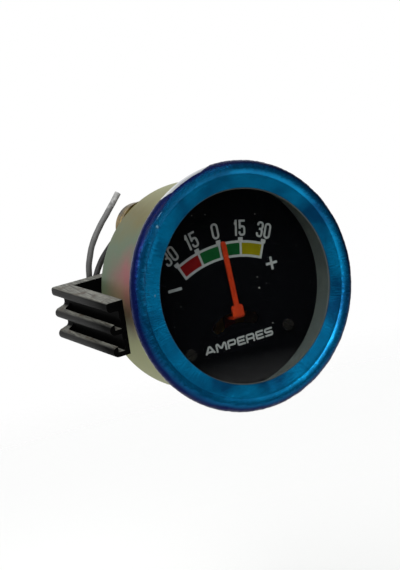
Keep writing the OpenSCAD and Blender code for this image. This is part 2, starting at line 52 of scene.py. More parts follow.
log = logging.getLogger("ammeter")


# ---------- small helpers ----------


def linear(code: str) -> tuple[float, float, float, float]:
    """Turn an sRGB hex colour into linear RGBA.

    Args:
        code: Six hex digits.

    Returns:
        Linear red, green, blue and an alpha of 1.
    """
    parts = [int(code[i : i + 2], 16) / 255 for i in (0, 2, 4)]
    return (*[p / 12.92 if p <= 0.04045 else ((p + 0.055) / 1.055) ** 2.4 for p in parts], 1.0)


def add(
    tree: bpy.types.NodeTree,
    kind: str,
    sockets: dict[str | int, object] | None = None,
    stops: Sequence[tuple[float, str]] = (),
    **settings: object,
) -> bpy.types.Node:
    """Add one node to a tree.

    Args:
        tree: The tree that gets the node.
        kind: The node's type without its ShaderNode prefix.
        sockets: Values or output sockets for the node's inputs, by name or number.
        stops: Places and hex colours of a colour ramp.
        settings: The node's own properties.

    Returns:
        The new node.
    """
    made = tree.nodes.new("ShaderNode" + kind)
    for key, value in settings.items():
        setattr(made, key, value)
    for key, value in (sockets or {}).items():
        if isinstance(value, bpy.types.NodeSocket):
            tree.links.new(value, made.inputs[key])
        else:
            made.inputs[key].default_value = value
    for i, (place, code) in enumerate(stops):
        elements = made.color_ramp.elements
        stop = elements[i] if i < 2 else elements.new(place)
        stop.position = place
        stop.color = linear(code)
    return made


# ---------- finishes ----------


@dataclass(frozen=True)
class Finish:
    """A surface: what it is made of and how it was finished."""

    name: str
    colour: str
    roughness: float
    metallic: float = 0.0
    specular: float = 0.5

    def material(self) -> bpy.types.Material:
        """Build the material once and return it.

        Returns:
            The Blender material of this finish.
        """
        known = bpy.data.materials.get(self.name)
        if known is not None:
            return known
        made = bpy.data.materials.new(self.name)
        made.use_nodes = True
        tree = made.node_tree
        tree.nodes.clear()
        shader = add(
            tree,
            "BsdfPrincipled",
            {
                "Base Color": linear(self.colour),
                "Roughness": self.roughness,
                "Metallic": self.metallic,
                "Specular IOR Level": self.specular,
            },
        )
        out = add(tree, "OutputMaterial", {"Surface": shader.outputs[0]})
        self.dress(tree, shader, out)
        return made

    def dress(self, tree: bpy.types.NodeTree, shader: bpy.types.Node, out: bpy.types.Node) -> None:
        """Add this finish's own nodes. A plain finish has none."""

    def place(self, tree: bpy.types.NodeTree) -> bpy.types.NodeSocket:
        """Return the surface point in millimetres of the part's frame."""
        point = add(tree, "TexCoord").outputs["Object"]
        return add(tree, "VectorMath", {0: point, "Scale": 1 / MM}, operation="SCALE").outputs[0]

    def paint(
        self,
        tree: bpy.types.NodeTree,
        below: bpy.types.NodeSocket,
        share: bpy.types.NodeSocket,
        over: str,
    ) -> bpy.types.NodeSocket:
        """Lay one colour over another by a share.

        Args:
            tree: The material's tree.
            below: The colour so far.
            share: How much of the new colour shows.
            over: The new colour in hex.

        Returns:
            The socket that carries the mixed colour.
        """
        return add(tree, "Mix", {"Factor": share, 6: below, 7: linear(over)}, data_type="RGBA").outputs[2]


@dataclass(frozen=True)
class Mottled(Finish):
    """A surface whose colour and gloss drift a little, with a fine grain."""

    second: str = "808080"
    patch: float = 3.0
    grain: float = 0.3
    relief: float = 0.02

    def dress(self, tree: bpy.types.NodeTree, shader: bpy.types.Node, out: bpy.types.Node) -> None:
        """Mix two colours by soft patches and add the grain's relief.

        Args:
            tree: The material's tree.
            shader: Its main shader.
            out: Its output, which is not used.
        """
        at = self.place(tree)
        patches = add(tree, "TexNoise", {"Vector": at, "Scale": 1 / self.patch, "Detail": 4.0})
        mixed = add(
            tree,
            "ValToRGB",
            {"Fac": patches.outputs["Fac"]},
            stops=[(0.35, self.colour), (0.7, self.second)],
        )
        tree.links.new(mixed.outputs["Color"], shader.inputs["Base Color"])
        fine = add(tree, "TexNoise", {"Vector": at, "Scale": 1 / self.grain, "Detail": 3.0})
        height = fine.outputs["Fac"]
        bump = add(tree, "Bump", {"Height": height, "Strength": 0.5, "Distance": self.relief * MM})
        tree.links.new(bump.outputs["Normal"], shader.inputs["Normal"])
        gloss = add(
            tree,
            "MapRange",
            {"Value": height, "To Min": self.roughness * 0.8, "To Max": min(1, self.roughness * 1.2)},
        )
        tree.links.new(gloss.outputs[0], shader.inputs["Roughness"])


@dataclass(frozen=True)
class Glass(Finish):
    """Clear glass that lets the lamps through."""

    def dress(self, tree: bpy.types.NodeTree, shader: bpy.types.Node, out: bpy.types.Node) -> None:
        """Make the shader clear, and let shadow rays pass.

        Args:
            tree: The material's tree.
            shader: Its main shader.
            out: Its output.
        """
        shader.inputs["Transmission Weight"].default_value = 1.0
        shader.inputs["IOR"].default_value = 1.5
        clear = add(tree, "BsdfTransparent", {"Color": linear(self.colour)})
        ray = add(tree, "LightPath").outputs["Is Shadow Ray"]
        mixed = add(tree, "MixShader", {"Fac": ray, 1: shader.outputs[0], 2: clear.outputs[0]})
        tree.links.new(mixed.outputs[0], out.inputs["Surface"])


@dataclass(frozen=True)
class Passivated(Finish):
    """Yellow chromate on zinc: pale at the top, through olive to rose down the sides."""

    olive: str = "625C34"
    green: str = "566450"
    rose: str = "844E50"
    # the colour of the painted highlight along the rolled rear edge
    highlight_and_wear: str = "C0C2A8"

    def dress(self, tree: bpy.types.NodeTree, shader: bpy.types.Node, out: bpy.types.Node) -> None:
        """Let the tint follow the angle from the top and the depth, as an uneven bath leaves it.

        Args:
            tree: The material's tree.
            shader: Its main shader.
            out: Its output, which is not used.
        """
        at = self.place(tree)
        axes = add(tree, "SeparateXYZ", {0: at}).outputs
        angle = add(tree, "Math", {0: axes["X"], 1: axes["Z"]}, operation="ARCTAN2").outputs[0]
        around = add(tree, "Math", {0: angle}, operation="ABSOLUTE").outputs[0]
        cloud = add(tree, "TexNoise", {"Vector": at, "Scale": 0.11, "Detail": 3.0, "Roughness": 0.6})
        drift = add(tree, "MapRange", {"Value": cloud.outputs["Fac"], "To Min": -0.25, "To Max": 0.25})
        lower = add(tree, "Math", {0: around, 1: drift.outputs[0]}, operation="ADD")
        share = add(tree, "Math", {0: lower.outputs[0], 1: math.pi}, operation="DIVIDE").outputs[0]
        # each side runs from straw over olive and pale green to straw, with a rose bloom near the flange
        tints = [
            add(
                tree,
                "ValToRGB",
                {"Fac": share},
                stops=[
                    (0.0, self.colour),
                    (0.2, self.olive),
                    (0.3, self.green),
                    (0.4, bloom),
                    (0.6, self.colour),
                ],
            )
            for bloom in (self.rose, self.green)
        ]
        depth = add(tree, "MapRange", {"Value": axes["Y"], "From Min": 9.0, "From Max": 21.0})
        near, far = (tint.outputs["Color"] for tint in tints)
        tint = add(tree, "Mix", {"Factor": depth.outputs[0], 6: near, 7: far}, data_type="RGBA")
        # painted highlight: the rolled edge at the back is painted pale
        edge = add(tree, "MapRange", {"Value": axes["Y"], "From Min": 23.2, "From Max": 23.7, "To Max": 0.5})
        colour = self.paint(tree, tint.outputs[2], edge.outputs[0], self.highlight_and_wear)
        tree.links.new(colour, shader.inputs["Base Color"])
        # the drawing lines run along the can
        stretched = add(tree, "VectorMath", {0: at, 1: (3.0, 0.25, 3.0)}, operation="MULTIPLY")
        lines = add(tree, "TexNoise", {"Vector": stretched.outputs[0], "Scale": 1.2, "Detail": 3.0})
        bump = add(tree, "Bump", {"Height": lines.outputs["Fac"], "Strength": 0.4, "Distance": 0.006 * MM})
        tree.links.new(bump.outputs["Normal"], shader.inputs["Normal"])


@dataclass(frozen=True)
class Shaded(Mottled):
    """A paint with painted shade: it gets darker with depth behind the panel seat."""

    # the colour of the painted shade deep in the dial slot
    dark: str = "2A0303"
    near: float = 5.6
    far: float = 8.6

    def dress(self, tree: bpy.types.NodeTree, shader: bpy.types.Node, out: bpy.types.Node) -> None:
        """Paint shade where the piece goes back through the dial, darker with depth.

        Args:
            tree: The material's tree.
            shader: Its main shader.
            out: Its output.
        """
        super().dress(tree, shader, out)
        depth = add(tree, "SeparateXYZ", {0: self.place(tree)}).outputs["Y"]
        # painted shade: darker with depth behind the dial
        fade = add(tree, "MapRange", {"Value": depth, "From Min": self.near, "From Max": self.far})
        clean = shader.inputs["Base Color"].links[0].from_socket
        tree.links.new(self.paint(tree, clean, fade.outputs[0], self.dark), shader.inputs["Base Color"])


@dataclass(frozen=True)
class Scuffed(Mottled):
    """Moulded nylon with drag marks along the legs, brown dust on top, painted light on faces that look up
    and painted shade on the front ends and groove floors.
    """

    # the colour of the painted light on faces that look up, along the drag marks
    highlight_and_wear: str = "7C7C74"
    dirt: str = "453C32"
    # the colour of the painted shade on the front ends and in the grooves
    painted_shade: str = "040404"
    # distance from the middle where the painted shade in the groove floors begins and is full
    groove_shade: tuple[float, float] = (34.4, 33.2)

    def dress(self, tree: bpy.types.NodeTree, shader: bpy.types.Node, out: bpy.types.Node) -> None:
        """Paint light on what faces up along the drag marks, scratch it along the legs, and paint shade on
        the front ends and groove floors.

        Args:
            tree: The material's tree.
            shader: Its main shader.
            out: Its output.
        """
        super().dress(tree, shader, out)
        at = self.place(tree)
        plain = shader.inputs["Base Color"].links[0].from_socket
        up = add(tree, "SeparateXYZ", {0: add(tree, "NewGeometry").outputs["Normal"]}).outputs["Z"]
        facing = add(tree, "MapRange", {"Value": up, "From Min": 0.55, "From Max": 0.98}, clamp=True)
        drag = add(tree, "VectorMath", {0: at, 1: (2.2, 0.16, 0.6)}, operation="MULTIPLY")
        drag = drag.outputs[0]
        marks = add(tree, "TexNoise", {"Vector": drag, "Scale": 1.0, "Detail": 6.0, "Roughness": 0.65})
        wear = add(tree, "MapRange", {"Value": marks.outputs["Fac"], "From Min": 0.3, "From Max": 0.62})
        # painted light: faces that look up are lighter along the drag marks
        top = add(tree, "Math", {0: facing.outputs[0], 1: wear.outputs[0]}, operation="MULTIPLY")
        colour = self.paint(tree, plain, top.outputs[0], self.highlight_and_wear)
        dust = add(tree, "TexNoise", {"Vector": at, "Scale": 0.55, "Detail": 5.0})
        soiled = add(tree, "MapRange", {"Value": dust.outputs["Fac"], "From Min": 0.5, "From Max": 0.7})
        share = add(tree, "Math", {0: soiled.outputs[0], 1: facing.outputs[0]}, operation="MULTIPLY")
        colour = self.paint(tree, colour, share.outputs[0], self.dirt)
        # painted shade: the ends that face the front and the floors of the grooves are painted black
        ahead = add(tree, "SeparateXYZ", {0: add(tree, "NewGeometry").outputs["Normal"]}).outputs["Y"]
        ends = add(tree, "MapRange", {"Value": ahead, "From Min": -0.55, "From Max": -0.9}).outputs[0]
        aside = add(tree, "SeparateXYZ", {0: at}).outputs["X"]
        aside = add(tree, "Math", {0: aside}, operation="ABSOLUTE").outputs[0]
        high, low = self.groove_shade
        groove_shade = add(tree, "MapRange", {"Value": aside, "From Min": high, "From Max": low}).outputs[0]
        side = add(tree, "Math", {0: 1.0, 1: facing.outputs[0]}, operation="SUBTRACT").outputs[0]
        groove_shade = add(tree, "Math", {0: groove_shade, 1: side}, operation="MULTIPLY").outputs[0]
        black = add(tree, "Math", {0: ends, 1: groove_shade}, operation="MAXIMUM").outputs[0]
        tree.links.new(self.paint(tree, colour, black, self.painted_shade), shader.inputs["Base Color"])
        dull = add(tree, "MapRange", {"Value": black, "To Min": self.specular, "To Max": 0.02}).outputs[0]
        tree.links.new(dull, shader.inputs["Specular IOR Level"])


@dataclass(frozen=True)
class Film(Finish):
    """Blue protective film drawn tight over chrome. UV is (turn about the axis, mm across the band)."""

    clinging: str = "044E7C"
    # the colour of the painted shade on the outer bead
    rim_shade: str = "021044"
    # the colour of the painted highlight along the cut edge at the lip
    cut: str = "3C5666"
    torn: str = "A8BCC8"
    # the colour of the painted glints on the creases of the bead
    crease_glint: str = "2C6E9C"
    scratched: str = "8CB8D0"
    patch: float = 9.0
    # where the painted shade starts and is full, in mm across the band
    rim_shade_span: tuple[float, float] = (3.9, 6.2)
    scratches: tuple[tuple[float, float, float, float], ...] = (
        (0.358, 0.37, 5.36, 5.42),
        (0.3765, 0.379, 4.0, 4.8),
        (0.4725, 0.4755, 1.0, 1.2),
    )
    crumpled: tuple[tuple[float, float, float, float], ...] = (
        (0.39, 0.43, 2.5, 4.2),
        (0.75, 0.94, 0.0, 2.8),
        (0.24, 0.4, 3.4, 6.7),
    )

    def window(
        self, tree: bpy.types.NodeTree, value: bpy.types.NodeSocket, low: float, high: float, soft: float
    ) -> bpy.types.NodeSocket:
        """Return 1 where a value lies between low and high, with soft ends.

        Args:
            tree: The material's tree.
            value: What is tested.
            low: The lower end.
            high: The upper end.
            soft: How far each end fades, to either side.

        Returns:
            The socket that carries the share.
        """
        ends = [
            add(
                tree,
                "MapRange",
                {"Value": value, "From Min": end - fade, "From Max": end + fade},
                interpolation_type="SMOOTHSTEP",
            ).outputs[0]
            for end, fade in ((low, soft), (high, -soft))
        ]
        return add(tree, "Math", {0: ends[0], 1: ends[1]}, operation="MULTIPLY").outputs[0]

    def area(
        self,
        tree: bpy.types.NodeTree,
        uv: bpy.types.bpy_prop_collection,
        box: tuple[float, float, float, float],
        soft: tuple[float, float],
    ) -> bpy.types.NodeSocket:
        """Return 1 inside a stretch of the band.

        Args:
            tree: The material's tree.
            uv: The turn and the distance across, as X and Y.
            box: Low and high turn, then low and high millimetres across.
            soft: How far the ends fade along the turn and across.

        Returns:
            The socket that carries the share.
        """
        along = self.window(tree, uv["X"], box[0], box[1], soft[0])
        across = self.window(tree, uv["Y"], box[2], box[3], soft[1])
        return add(tree, "Math", {0: along, 1: across}, operation="MULTIPLY").outputs[0]

    def dress(self, tree: bpy.types.NodeTree, shader: bpy.types.Node, out: bpy.types.Node) -> None:
        """Paint shade on the outer bead, a highlight along the lip and glints on the creases, and crinkle it.

        Args:
            tree: The material's tree.
            shader: Its main shader.
            out: Its output, which is not used.
        """
        uv = add(tree, "SeparateXYZ", {0: add(tree, "UVMap", uv_map="band").outputs[0]}).outputs
        turn, across = uv["X"], uv["Y"]
        at = self.place(tree)
        # the film clings in patches, and is loose and darker between them
        cling = add(tree, "TexNoise", {"Vector": at, "Scale": 1 / self.patch, "Detail": 4.0})
        tone = add(
            tree, "ValToRGB", {"Fac": cling.outputs["Fac"]}, stops=[(0.35, self.clinging), (0.6, self.colour)]
        )
        colour = tone.outputs["Color"]
        # painted shade: the blue is darker from the front of the bead round to its rim
        drift = add(tree, "MapRange", {"Value": cling.outputs["Fac"], "To Min": -1.2, "To Max": 1.2})
        crossed = add(tree, "Math", {0: across, 1: drift.outputs[0]}, operation="ADD").outputs[0]
        near, far = self.rim_shade_span
        rim_shade_share = add(tree, "MapRange", {"Value": crossed, "From Min": near, "From Max": far})
        colour = self.paint(tree, colour, rim_shade_share.outputs[0], self.rim_shade)
        # a painted highlight along the cut edge at the lip, and a pale torn edge at the lower left
        colour = self.paint(tree, colour, self.window(tree, across, -0.1, 0.1, 0.08), self.cut)
        ragged = self.area(tree, uv, (0.5, 0.7, 8.35, 40.0), (0.03, 0.12))
        colour = self.paint(tree, colour, ragged, self.torn)
        # scratches go through the blue, down to the bright metal
        for box in self.scratches:
            colour = self.paint(tree, colour, self.area(tree, uv, box, (0.001, 0.06)), self.scratched)
        # short creases across the bead, close together like a ladder, with painted glints on them
        along = add(tree, "Math", {0: turn, 1: 420.0}, operation="MULTIPLY").outputs[0]
        wide = add(tree, "Math", {0: across, 1: 0.35}, operation="MULTIPLY").outputs[0]
        rungs = add(tree, "CombineXYZ", {"X": along, "Y": wide}).outputs[0]
        ladder = add(tree, "TexNoise", {"Vector": rungs, "Scale": 1.0, "Detail": 3.0, "Roughness": 0.7})
        sharp = add(tree, "MapRange", {"Value": ladder.outputs["Fac"], "From Min": 0.5, "From Max": 0.62})
        glint_area = self.area(tree, uv, (0.43, 0.49, 2.2, 4.5), (0.03, 0.3))
        share = add(tree, "Math", {0: glint_area, 1: sharp.outputs[0]}, operation="MULTIPLY").outputs[0]
        colour = self.paint(tree, colour, share, self.crease_glint)
        tree.links.new(colour, shader.inputs["Base Color"])
        shader.inputs["Coat Weight"].default_value = 0.06
        shader.inputs["Coat Roughness"].default_value = 0.12
        # crumpled stretches glitter, because their creases are the steepest
        crush = add(tree, "TexNoise", {"Vector": at, "Scale": 2.4, "Detail": 5.0, "Roughness": 0.7})
        height = add(tree, "Math", {0: crush.outputs["Fac"], 1: ladder.outputs["Fac"]}, operation="ADD")
        loose = self.area(tree, uv, self.crumpled[0], (0.01, 0.3))
        for box in self.crumpled[1:]:
            other = self.area(tree, uv, box, (0.01, 0.3))
            loose = add(tree, "Math", {0: loose, 1: other}, operation="MAXIMUM").outputs[0]
        steep = add(tree, "MapRange", {"Value": loose, "To Min": 0.3, "To Max": 1.0}).outputs[0]
        bump = add(tree, "Bump", {"Height": height.outputs[0], "Strength": steep, "Distance": 0.26 * MM})
        tree.links.new(bump.outputs["Normal"], shader.inputs["Normal"])


@dataclass(frozen=True)
class Plated(Mottled):
    """Chrome plate, with painted shade inside the bezel: within the rim it is dull grey and not metallic."""

    # the colour of the painted shade within the rim
    inside: str = "3C403E"
    reach: float = 26.4

    def dress(self, tree: bpy.types.NodeTree, shader: bpy.types.Node, out: bpy.types.Node) -> None:
        """Paint shade within the rim: grey, rough and not metallic.

        Args:
            tree: The material's tree.
            shader: Its main shader.
            out: Its output.
        """
        super().dress(tree, shader, out)
        at = self.place(tree)
        flat = add(tree, "VectorMath", {0: at, 1: (1.0, 0.0, 1.0)}, operation="MULTIPLY")
        radius = add(tree, "VectorMath", {0: flat.outputs[0]}, operation="LENGTH").outputs["Value"]
        inner = add(
            tree, "MapRange", {"Value": radius, "From Min": self.reach + 0.2, "From Max": self.reach - 0.2}
        ).outputs[0]
        # painted shade: within the rim the chrome is grey, rough and not metallic
        plate = shader.inputs["Base Color"].links[0].from_socket
        tree.links.new(self.paint(tree, plate, inner, self.inside), shader.inputs["Base Color"])
        shine = add(tree, "Math", {0: 1.0, 1: inner}, operation="SUBTRACT").outputs[0]
        tree.links.new(shine, shader.inputs["Metallic"])
        gloss = add(tree, "MapRange", {"Value": inner, "To Min": self.roughness, "To Max": 0.8})
        tree.links.new(gloss.outputs[0], shader.inputs["Roughness"])


@dataclass(frozen=True)
class Paper(Finish):
    """White paper that fades out towards the edge of the floor."""

    fade: tuple[float, float] = (200.0, 560.0)
    lift: float = 0.29

    def dress(self, tree: bpy.types.NodeTree, shader: bpy.types.Node, out: bpy.types.Node) -> None:
        """Let the paper fade into the backdrop, and give it a faint grain.

        Args:
            tree: The material's tree.
            shader: Its main shader.
            out: Its output.
        """
        at = self.place(tree)
        far = add(tree, "VectorMath", {0: at}, operation="LENGTH").outputs["Value"]
        start, end = self.fade
        fade = add(tree, "MapRange", {"Value": far, "From Min": start, "From Max": end}).outputs[0]
        grain = add(tree, "TexNoise", {"Vector": at, "Scale": 0.5, "Detail": 3.0})
        bump = add(tree, "Bump", {"Height": grain.outputs["Fac"], "Strength": 0.2, "Distance": 0.05 * MM})
        tree.links.new(bump.outputs["Normal"], shader.inputs["Normal"])
        clear = add(tree, "BsdfTransparent")
        # the camera sees the paper white, with the shadow kept
        seen = add(tree, "LightPath").outputs["Is Camera Ray"]
        lift = add(tree, "Math", {0: seen, 1: self.lift}, operation="MULTIPLY").outputs[0]
        glow = add(tree, "Emission", {"Color": (1, 1, 1, 1), "Strength": lift})
        paper = add(tree, "AddShader", {0: shader.outputs[0], 1: glow.outputs[0]})
        mixed = add(tree, "MixShader", {"Fac": fade, 1: paper.outputs[0], 2: clear.outputs[0]})
        tree.links.new(mixed.outputs[0], out.inputs["Surface"])


@dataclass(frozen=True)
class Stranded(Finish):
    """Grey lead, darker from the lamp to behind the clamp and pale at its cut end. UV is (share of length,
    turn).
    """

    def dress(self, tree: bpy.types.NodeTree, shader: bpy.types.Node, out: bpy.types.Node) -> None:
        """Fade the grey along the lead and stain it unevenly.

        Args:
            tree: The material's tree.
            shader: Its main shader.
            out: Its output, which is not used.
        """
        along = add(tree, "SeparateXYZ", {0: add(tree, "UVMap", uv_map="lead").outputs[0]}).outputs["X"]
        stain = add(tree, "TexNoise", {"Vector": self.place(tree), "Scale": 0.9, "Detail": 5.0})
        sway = add(tree, "MapRange", {"Value": stain.outputs["Fac"], "To Min": -0.1, "To Max": 0.1})
        mixed = add(tree, "Math", {0: along, 1: sway.outputs[0]}, operation="ADD")
        # darker over the first part of the lead, from the lamp to behind the clamp, paler up to the cut end
        grey = add(
            tree,
            "ValToRGB",
            {"Fac": mixed.outputs[0]},
            stops=[(0.3, "202020"), (0.6, "262626"), (0.68, "464645"), (0.93, "6A6A69"), (1.0, "A8A8A6")],
        )
        tree.links.new(grey.outputs["Color"], shader.inputs["Base Color"])


# Each Mottled finish: colour, roughness, metallic, specular, second colour, then patch, grain and
# relief in millimetres. Grains finer than 0.2 mm are drawn coarser than real, as they would not show.

# turned brass: close turning marks, warm and bright
BRASS = Mottled("turned_brass", "C9A35A", 0.28, 1.0, 0.5, "AF8A45")
# stamped brass strip: duller from the rolling mill
STAMPED = Mottled("stamped_brass", "C29A52", 0.35, 1.0, 0.5, "A8813F")
# vulcanised red fibre: paper-like and dull
FIBRE = Mottled("red_fibre", "7A2F1C", 0.6, 0.0, 0.5, "662717")
# screen-printed white ink: flat, a little uneven at 0.6 mm
INK = Mottled("white_print", "9A9A97", 0.75, 0.0, 0.1, "8C8C89", 0.6, 0.15, 0.01)
# injection-moulded nylon: faint 0.25 mm grain of the mould
NYLON = Scuffed("moulded_black_nylon", "161615", 0.45, 0.0, 0.12, "1E1E1D", 3.0, 0.25, 0.02)
# dyed polyethylene film over chrome: the metal shines through and tints blue
FILM = Film("blue_film_on_chrome", "0486BC", 0.26, 0.75, 0.1)
# PVC over twisted strands: soft grey, darker from the lamp to behind the clamp
LEAD = Stranded("grey_lead", "707070", 0.6)
# house dust
DUST = Mottled("dust", "B0ACA4", 0.9, 0.0, 0.5, "8A867E")

FINISHES: dict[str, Finish] = {
    # bright chrome plate on pressed steel: mirror-like, with 0.4 mm polishing waves
    "bezel_ring": Plated("chrome_on_pressed_steel", "D6D9DC", 0.12, 1.0, 0.2, "C2C6CA", 6.0, 0.4, 0.003),
    # drawn float glass: smooth and faintly green
    "lens": Glass("float_glass", "F4F8F8", 0.02),
    # moulded rubber: matt black
    "lens_seal": Mottled("moulded_rubber", "0C0C0C", 0.7, 0.0, 0.5, "161616"),
    # pressed grey card: fibrous and matt
    "spacer_ring": Mottled("pressed_card", "4A4E4A", 0.85, 0.0, 0.1, "424642"),
    # drawn steel, zinc plated and yellow chromated: satin, with straw, olive, green and rose
    "can": Passivated("chromated_zinc", "8C8F62", 0.42, 0.2, 0.12),
    # sprayed and stoved flat enamel: almost no gloss
    "dial_plate": Mottled("flat_black_enamel", "020204", 0.9, 0.0, 0.04, "030305"),
    # chemically browned steel
    "dial_screws": Mottled("browned_steel", "0A0908", 0.5, 0.2, 0.3, "1C160F", 0.8, 0.2, 0.03),
    # screen-printed inks: matt and even
    "scale_band": INK,
    "red_zone": Mottled("red_print", "6C0A0A", 0.8, 0.0, 0.05, "620808"),
    "green_zones": Mottled("green_print", "0C4820", 0.8, 0.0, 0.05, "0A401C"),
    "yellow_zone": Mottled("yellow_print", "786E04", 0.8, 0.0, 0.05, "706604"),
    # moulded phenolic with brown filler
    "chassis": Mottled("brown_phenolic", "2A1A10", 0.5, 0.0, 0.5, "1E130C"),
    "pivot_bridge": STAMPED,
    "pivot_bushes": BRASS,
    # sintered magnet alloy: grey and grainy
    "magnet": Mottled("sintered_magnet", "3A3A3C", 0.5, 0.5, 0.5, "2E2E30"),
    "bus_bar": STAMPED,
    "stud_bushes": FIBRE,
    # pressed brass, tarnished to gold-brown in 1.6 mm patches
    "lamp_holder": Mottled("aged_brass", "7C6838", 0.38, 0.6, 0.4, "1C180C", 1.6),
    "lamp_insulator": FIBRE,
    # blown glass
    "lamp_bulb": Glass("blown_glass", "F0EDE4", 0.05),
    # brushed-on orange lacquer, with painted shade where it goes back through the dial
    "pointer": Shaded("orange_lacquer", "A8300F", 0.45, 0.0, 0.12, "96280C", 1.5, 0.2, 0.02),
    "balance_weight": BRASS,
    # ground silver steel
    "pointer_staff": Mottled("ground_steel", "A8AAAC", 0.25, 1.0, 0.5, "9A9C9E"),
    # annealed soft iron
    "armature": Mottled("soft_iron", "4A4A4C", 0.45, 0.8, 0.5, "3C3C3E"),
    # bright zinc plate on steel
    "clamp_washers": Mottled("zinc_plate", "B4B4AE", 0.35, 1.0, 0.5, "A2A29C"),
}


def dress_nodes() -> None:
    """Give every carried-over node its finish."""
    for name, finish in FINISHES.items():
        obj = bpy.data.objects[name]
        obj.data.materials.clear()
        obj.data.materials.append(finish.material())


# ---------- pieces ----------


def piece(
    name: str,
    bm: bmesh.types.BMesh,
    finish: Finish,
    body: str,
    nodes: Sequence[str] = (),
    smooth: bool = True,
) -> bpy.types.Object:
    """Turn a bmesh into a piece of the part.

    Args:
        name: The piece's name.
        bm: Its shape, in millimetres of the part's frame. It is freed.
        finish: Its surface.
        body: The body it moves with.
        nodes: The CAD nodes that it stands for.
        smooth: Whether its faces are shaded smooth, apart from sharp edges.

    Returns:
        The new object.
    """
    bmesh.ops.recalc_face_normals(bm, faces=bm.faces[:])
    for vert in bm.verts:
        vert.co *= MM
    for face in bm.faces:
        face.smooth = smooth
    for edge in bm.edges:
        edge.smooth = len(edge.link_faces) == 2 and edge.calc_face_angle(0) < math.radians(35)
    mesh = bpy.data.meshes.new(name)
    bm.to_mesh(mesh)
    log.info("%s: %d faces", name, len(mesh.polygons))
    bm.free()
    mesh.materials.append(finish.material())
    made = bpy.data.objects.new(name, mesh)
    bpy.context.scene.collection.objects.link(made)
    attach(made, body)
    if nodes:
        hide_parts(*nodes)
    return made


@dataclass
class BezelFilm:
    """The film on the bezel: over the sloped band, round the bead and torn off behind it."""

    lip: tuple[float, float] = (23.02, -2.45)
    centre: tuple[float, float] = (27.75, -1.4)
    radius: float = 1.85
    start: float = -139.0
    end: float = 41.0
    thickness: float = 0.06
    tuck: float = 0.9
    steps: int = 600

    def cover(self, turn: float) -> float:
        """Return how far round the bead the film reaches.

        Args:
            turn: The place about the axis, from 0 to 1.

        Returns:
            The share of the bead that is covered.
        """
        bare = smooth_window(turn, 0.262, 0.345, 0.02)
        torn = smooth_window(turn, 0.53, 0.68, 0.03)
        rough = noise.fractal(Vector((turn * 190.0, 0.0, 3.0)), 0.8, 2.0, 4)
        return 0.97 - 0.44 * bare - 0.1 * torn + rough * (0.012 + 0.035 * torn)

    def build(self) -> None:
        """Spin the profile, tear its rear edge, crinkle it and give it its thickness."""
        bm = bmesh.new()
        inner = 16
        outer = 40
        root = self.on_bead(self.start)
        fold = [Vector((self.lip[0] - 0.01, self.lip[1] + self.tuck * (1 - i / 4))) for i in range(4)]
        points = fold + [Vector(self.lip).lerp(root, i / inner) for i in range(inner)]
        points += [self.on_bead(self.start + (self.end - self.start) * i / outer) for i in range(outer + 1)]
        verts = [bm.verts.new((p.x, p.y, 0.0)) for p in points]
        edges = [bm.edges.new(pair) for pair in zip(verts, verts[1:])]
        bmesh.ops.spin(
            bm,
            geom=verts + edges,
            cent=(0, 0, 0),
            axis=(0, 1, 0),
            angle=math.tau,
            steps=self.steps,
            use_merge=True,
        )
        band = bm.loops.layers.uv.new("band")
        spots = {vert: self.crinkle(vert) for vert in bm.verts}
        for face in bm.faces:
            turns = [spots[loop.vert][0] for loop in face.loops]
            wraps = max(turns) - min(turns) > 0.5
            for loop, turn in zip(face.loops, turns):
                loop[band].uv = (turn + 1 if wraps and turn < 0.5 else turn, spots[loop.vert][1])
        bmesh.ops.recalc_face_normals(bm, faces=bm.faces[:])
        bmesh.ops.solidify(bm, geom=bm.faces[:], thickness=self.thickness)
        piece("bezel_blue_film", bm, FILM, "housing", ["bezel_film"])

    def on_bead(self, angle: float) -> Vector:
        """Return the point of radius and depth on the bead at an angle in degrees."""
        return Vector(self.centre) + self.radius * Vector(
            (math.cos(math.radians(angle)), math.sin(math.radians(angle)))
        )

    def crinkle(self, vert: bmesh.types.BMVert) -> tuple[float, float]:
        """Move one point to where the torn, creased film lies.

        Args:
            vert: A point of the plain spun film.

        Returns:
            Its turn about the axis, from 0 to 1, and its distance across the band in mm.
        """
        turn = math.atan2(vert.co.z, vert.co.x) / math.tau % 1.0
        flat = Vector((math.hypot(vert.co.x, vert.co.z), vert.co.y))
        cone = (self.on_bead(self.start) - Vector(self.lip)).length
        if flat.x < self.lip[0] - 0.005:
            across = self.lip[1] - flat.y
            normal = Vector((-1.0, 0.0))
        elif (flat - Vector(self.centre)).length > self.radius + 0.001:
            across = (flat - Vector(self.lip)).length
            normal = Vector((0.0, -1.0))
        else:
            offset = flat - Vector(self.centre)
            angle = math.degrees(math.atan2(offset.y, offset.x))
            share = (angle - self.start) / (self.end - self.start) * self.cover(turn)
            angle = self.start + (self.end - self.start) * share
            flat = self.on_bead(angle)
            across = cone + self.radius * math.radians(angle - self.start)
            normal = (flat - Vector(self.centre)).normalized()
        loose = smooth_window(across, 3.2, 9.0, 1.5) * 0.05 + 0.012
        creases = noise.fractal(Vector((turn * 240.0, across * 0.35, 0.0)), 0.7, 2.1, 4)
        folds = noise.noise(Vector((turn * 60.0 + across * 0.8, across * 0.5, 7.0)))
        rise = loose * (creases + 0.8 * folds)
        flat = flat + normal * min(max(rise, -0.06), 0.09)
        if across < 2.0:
            flat.x -= 0.4 * smooth_window(turn, 0.33, 0.62, 0.08) * (1 - max(across, 0.0) / 2.0)
        vert.co = Vector((flat.x * math.cos(turn * math.tau), flat.y, flat.x * math.sin(turn * math.tau)))
        return turn, across


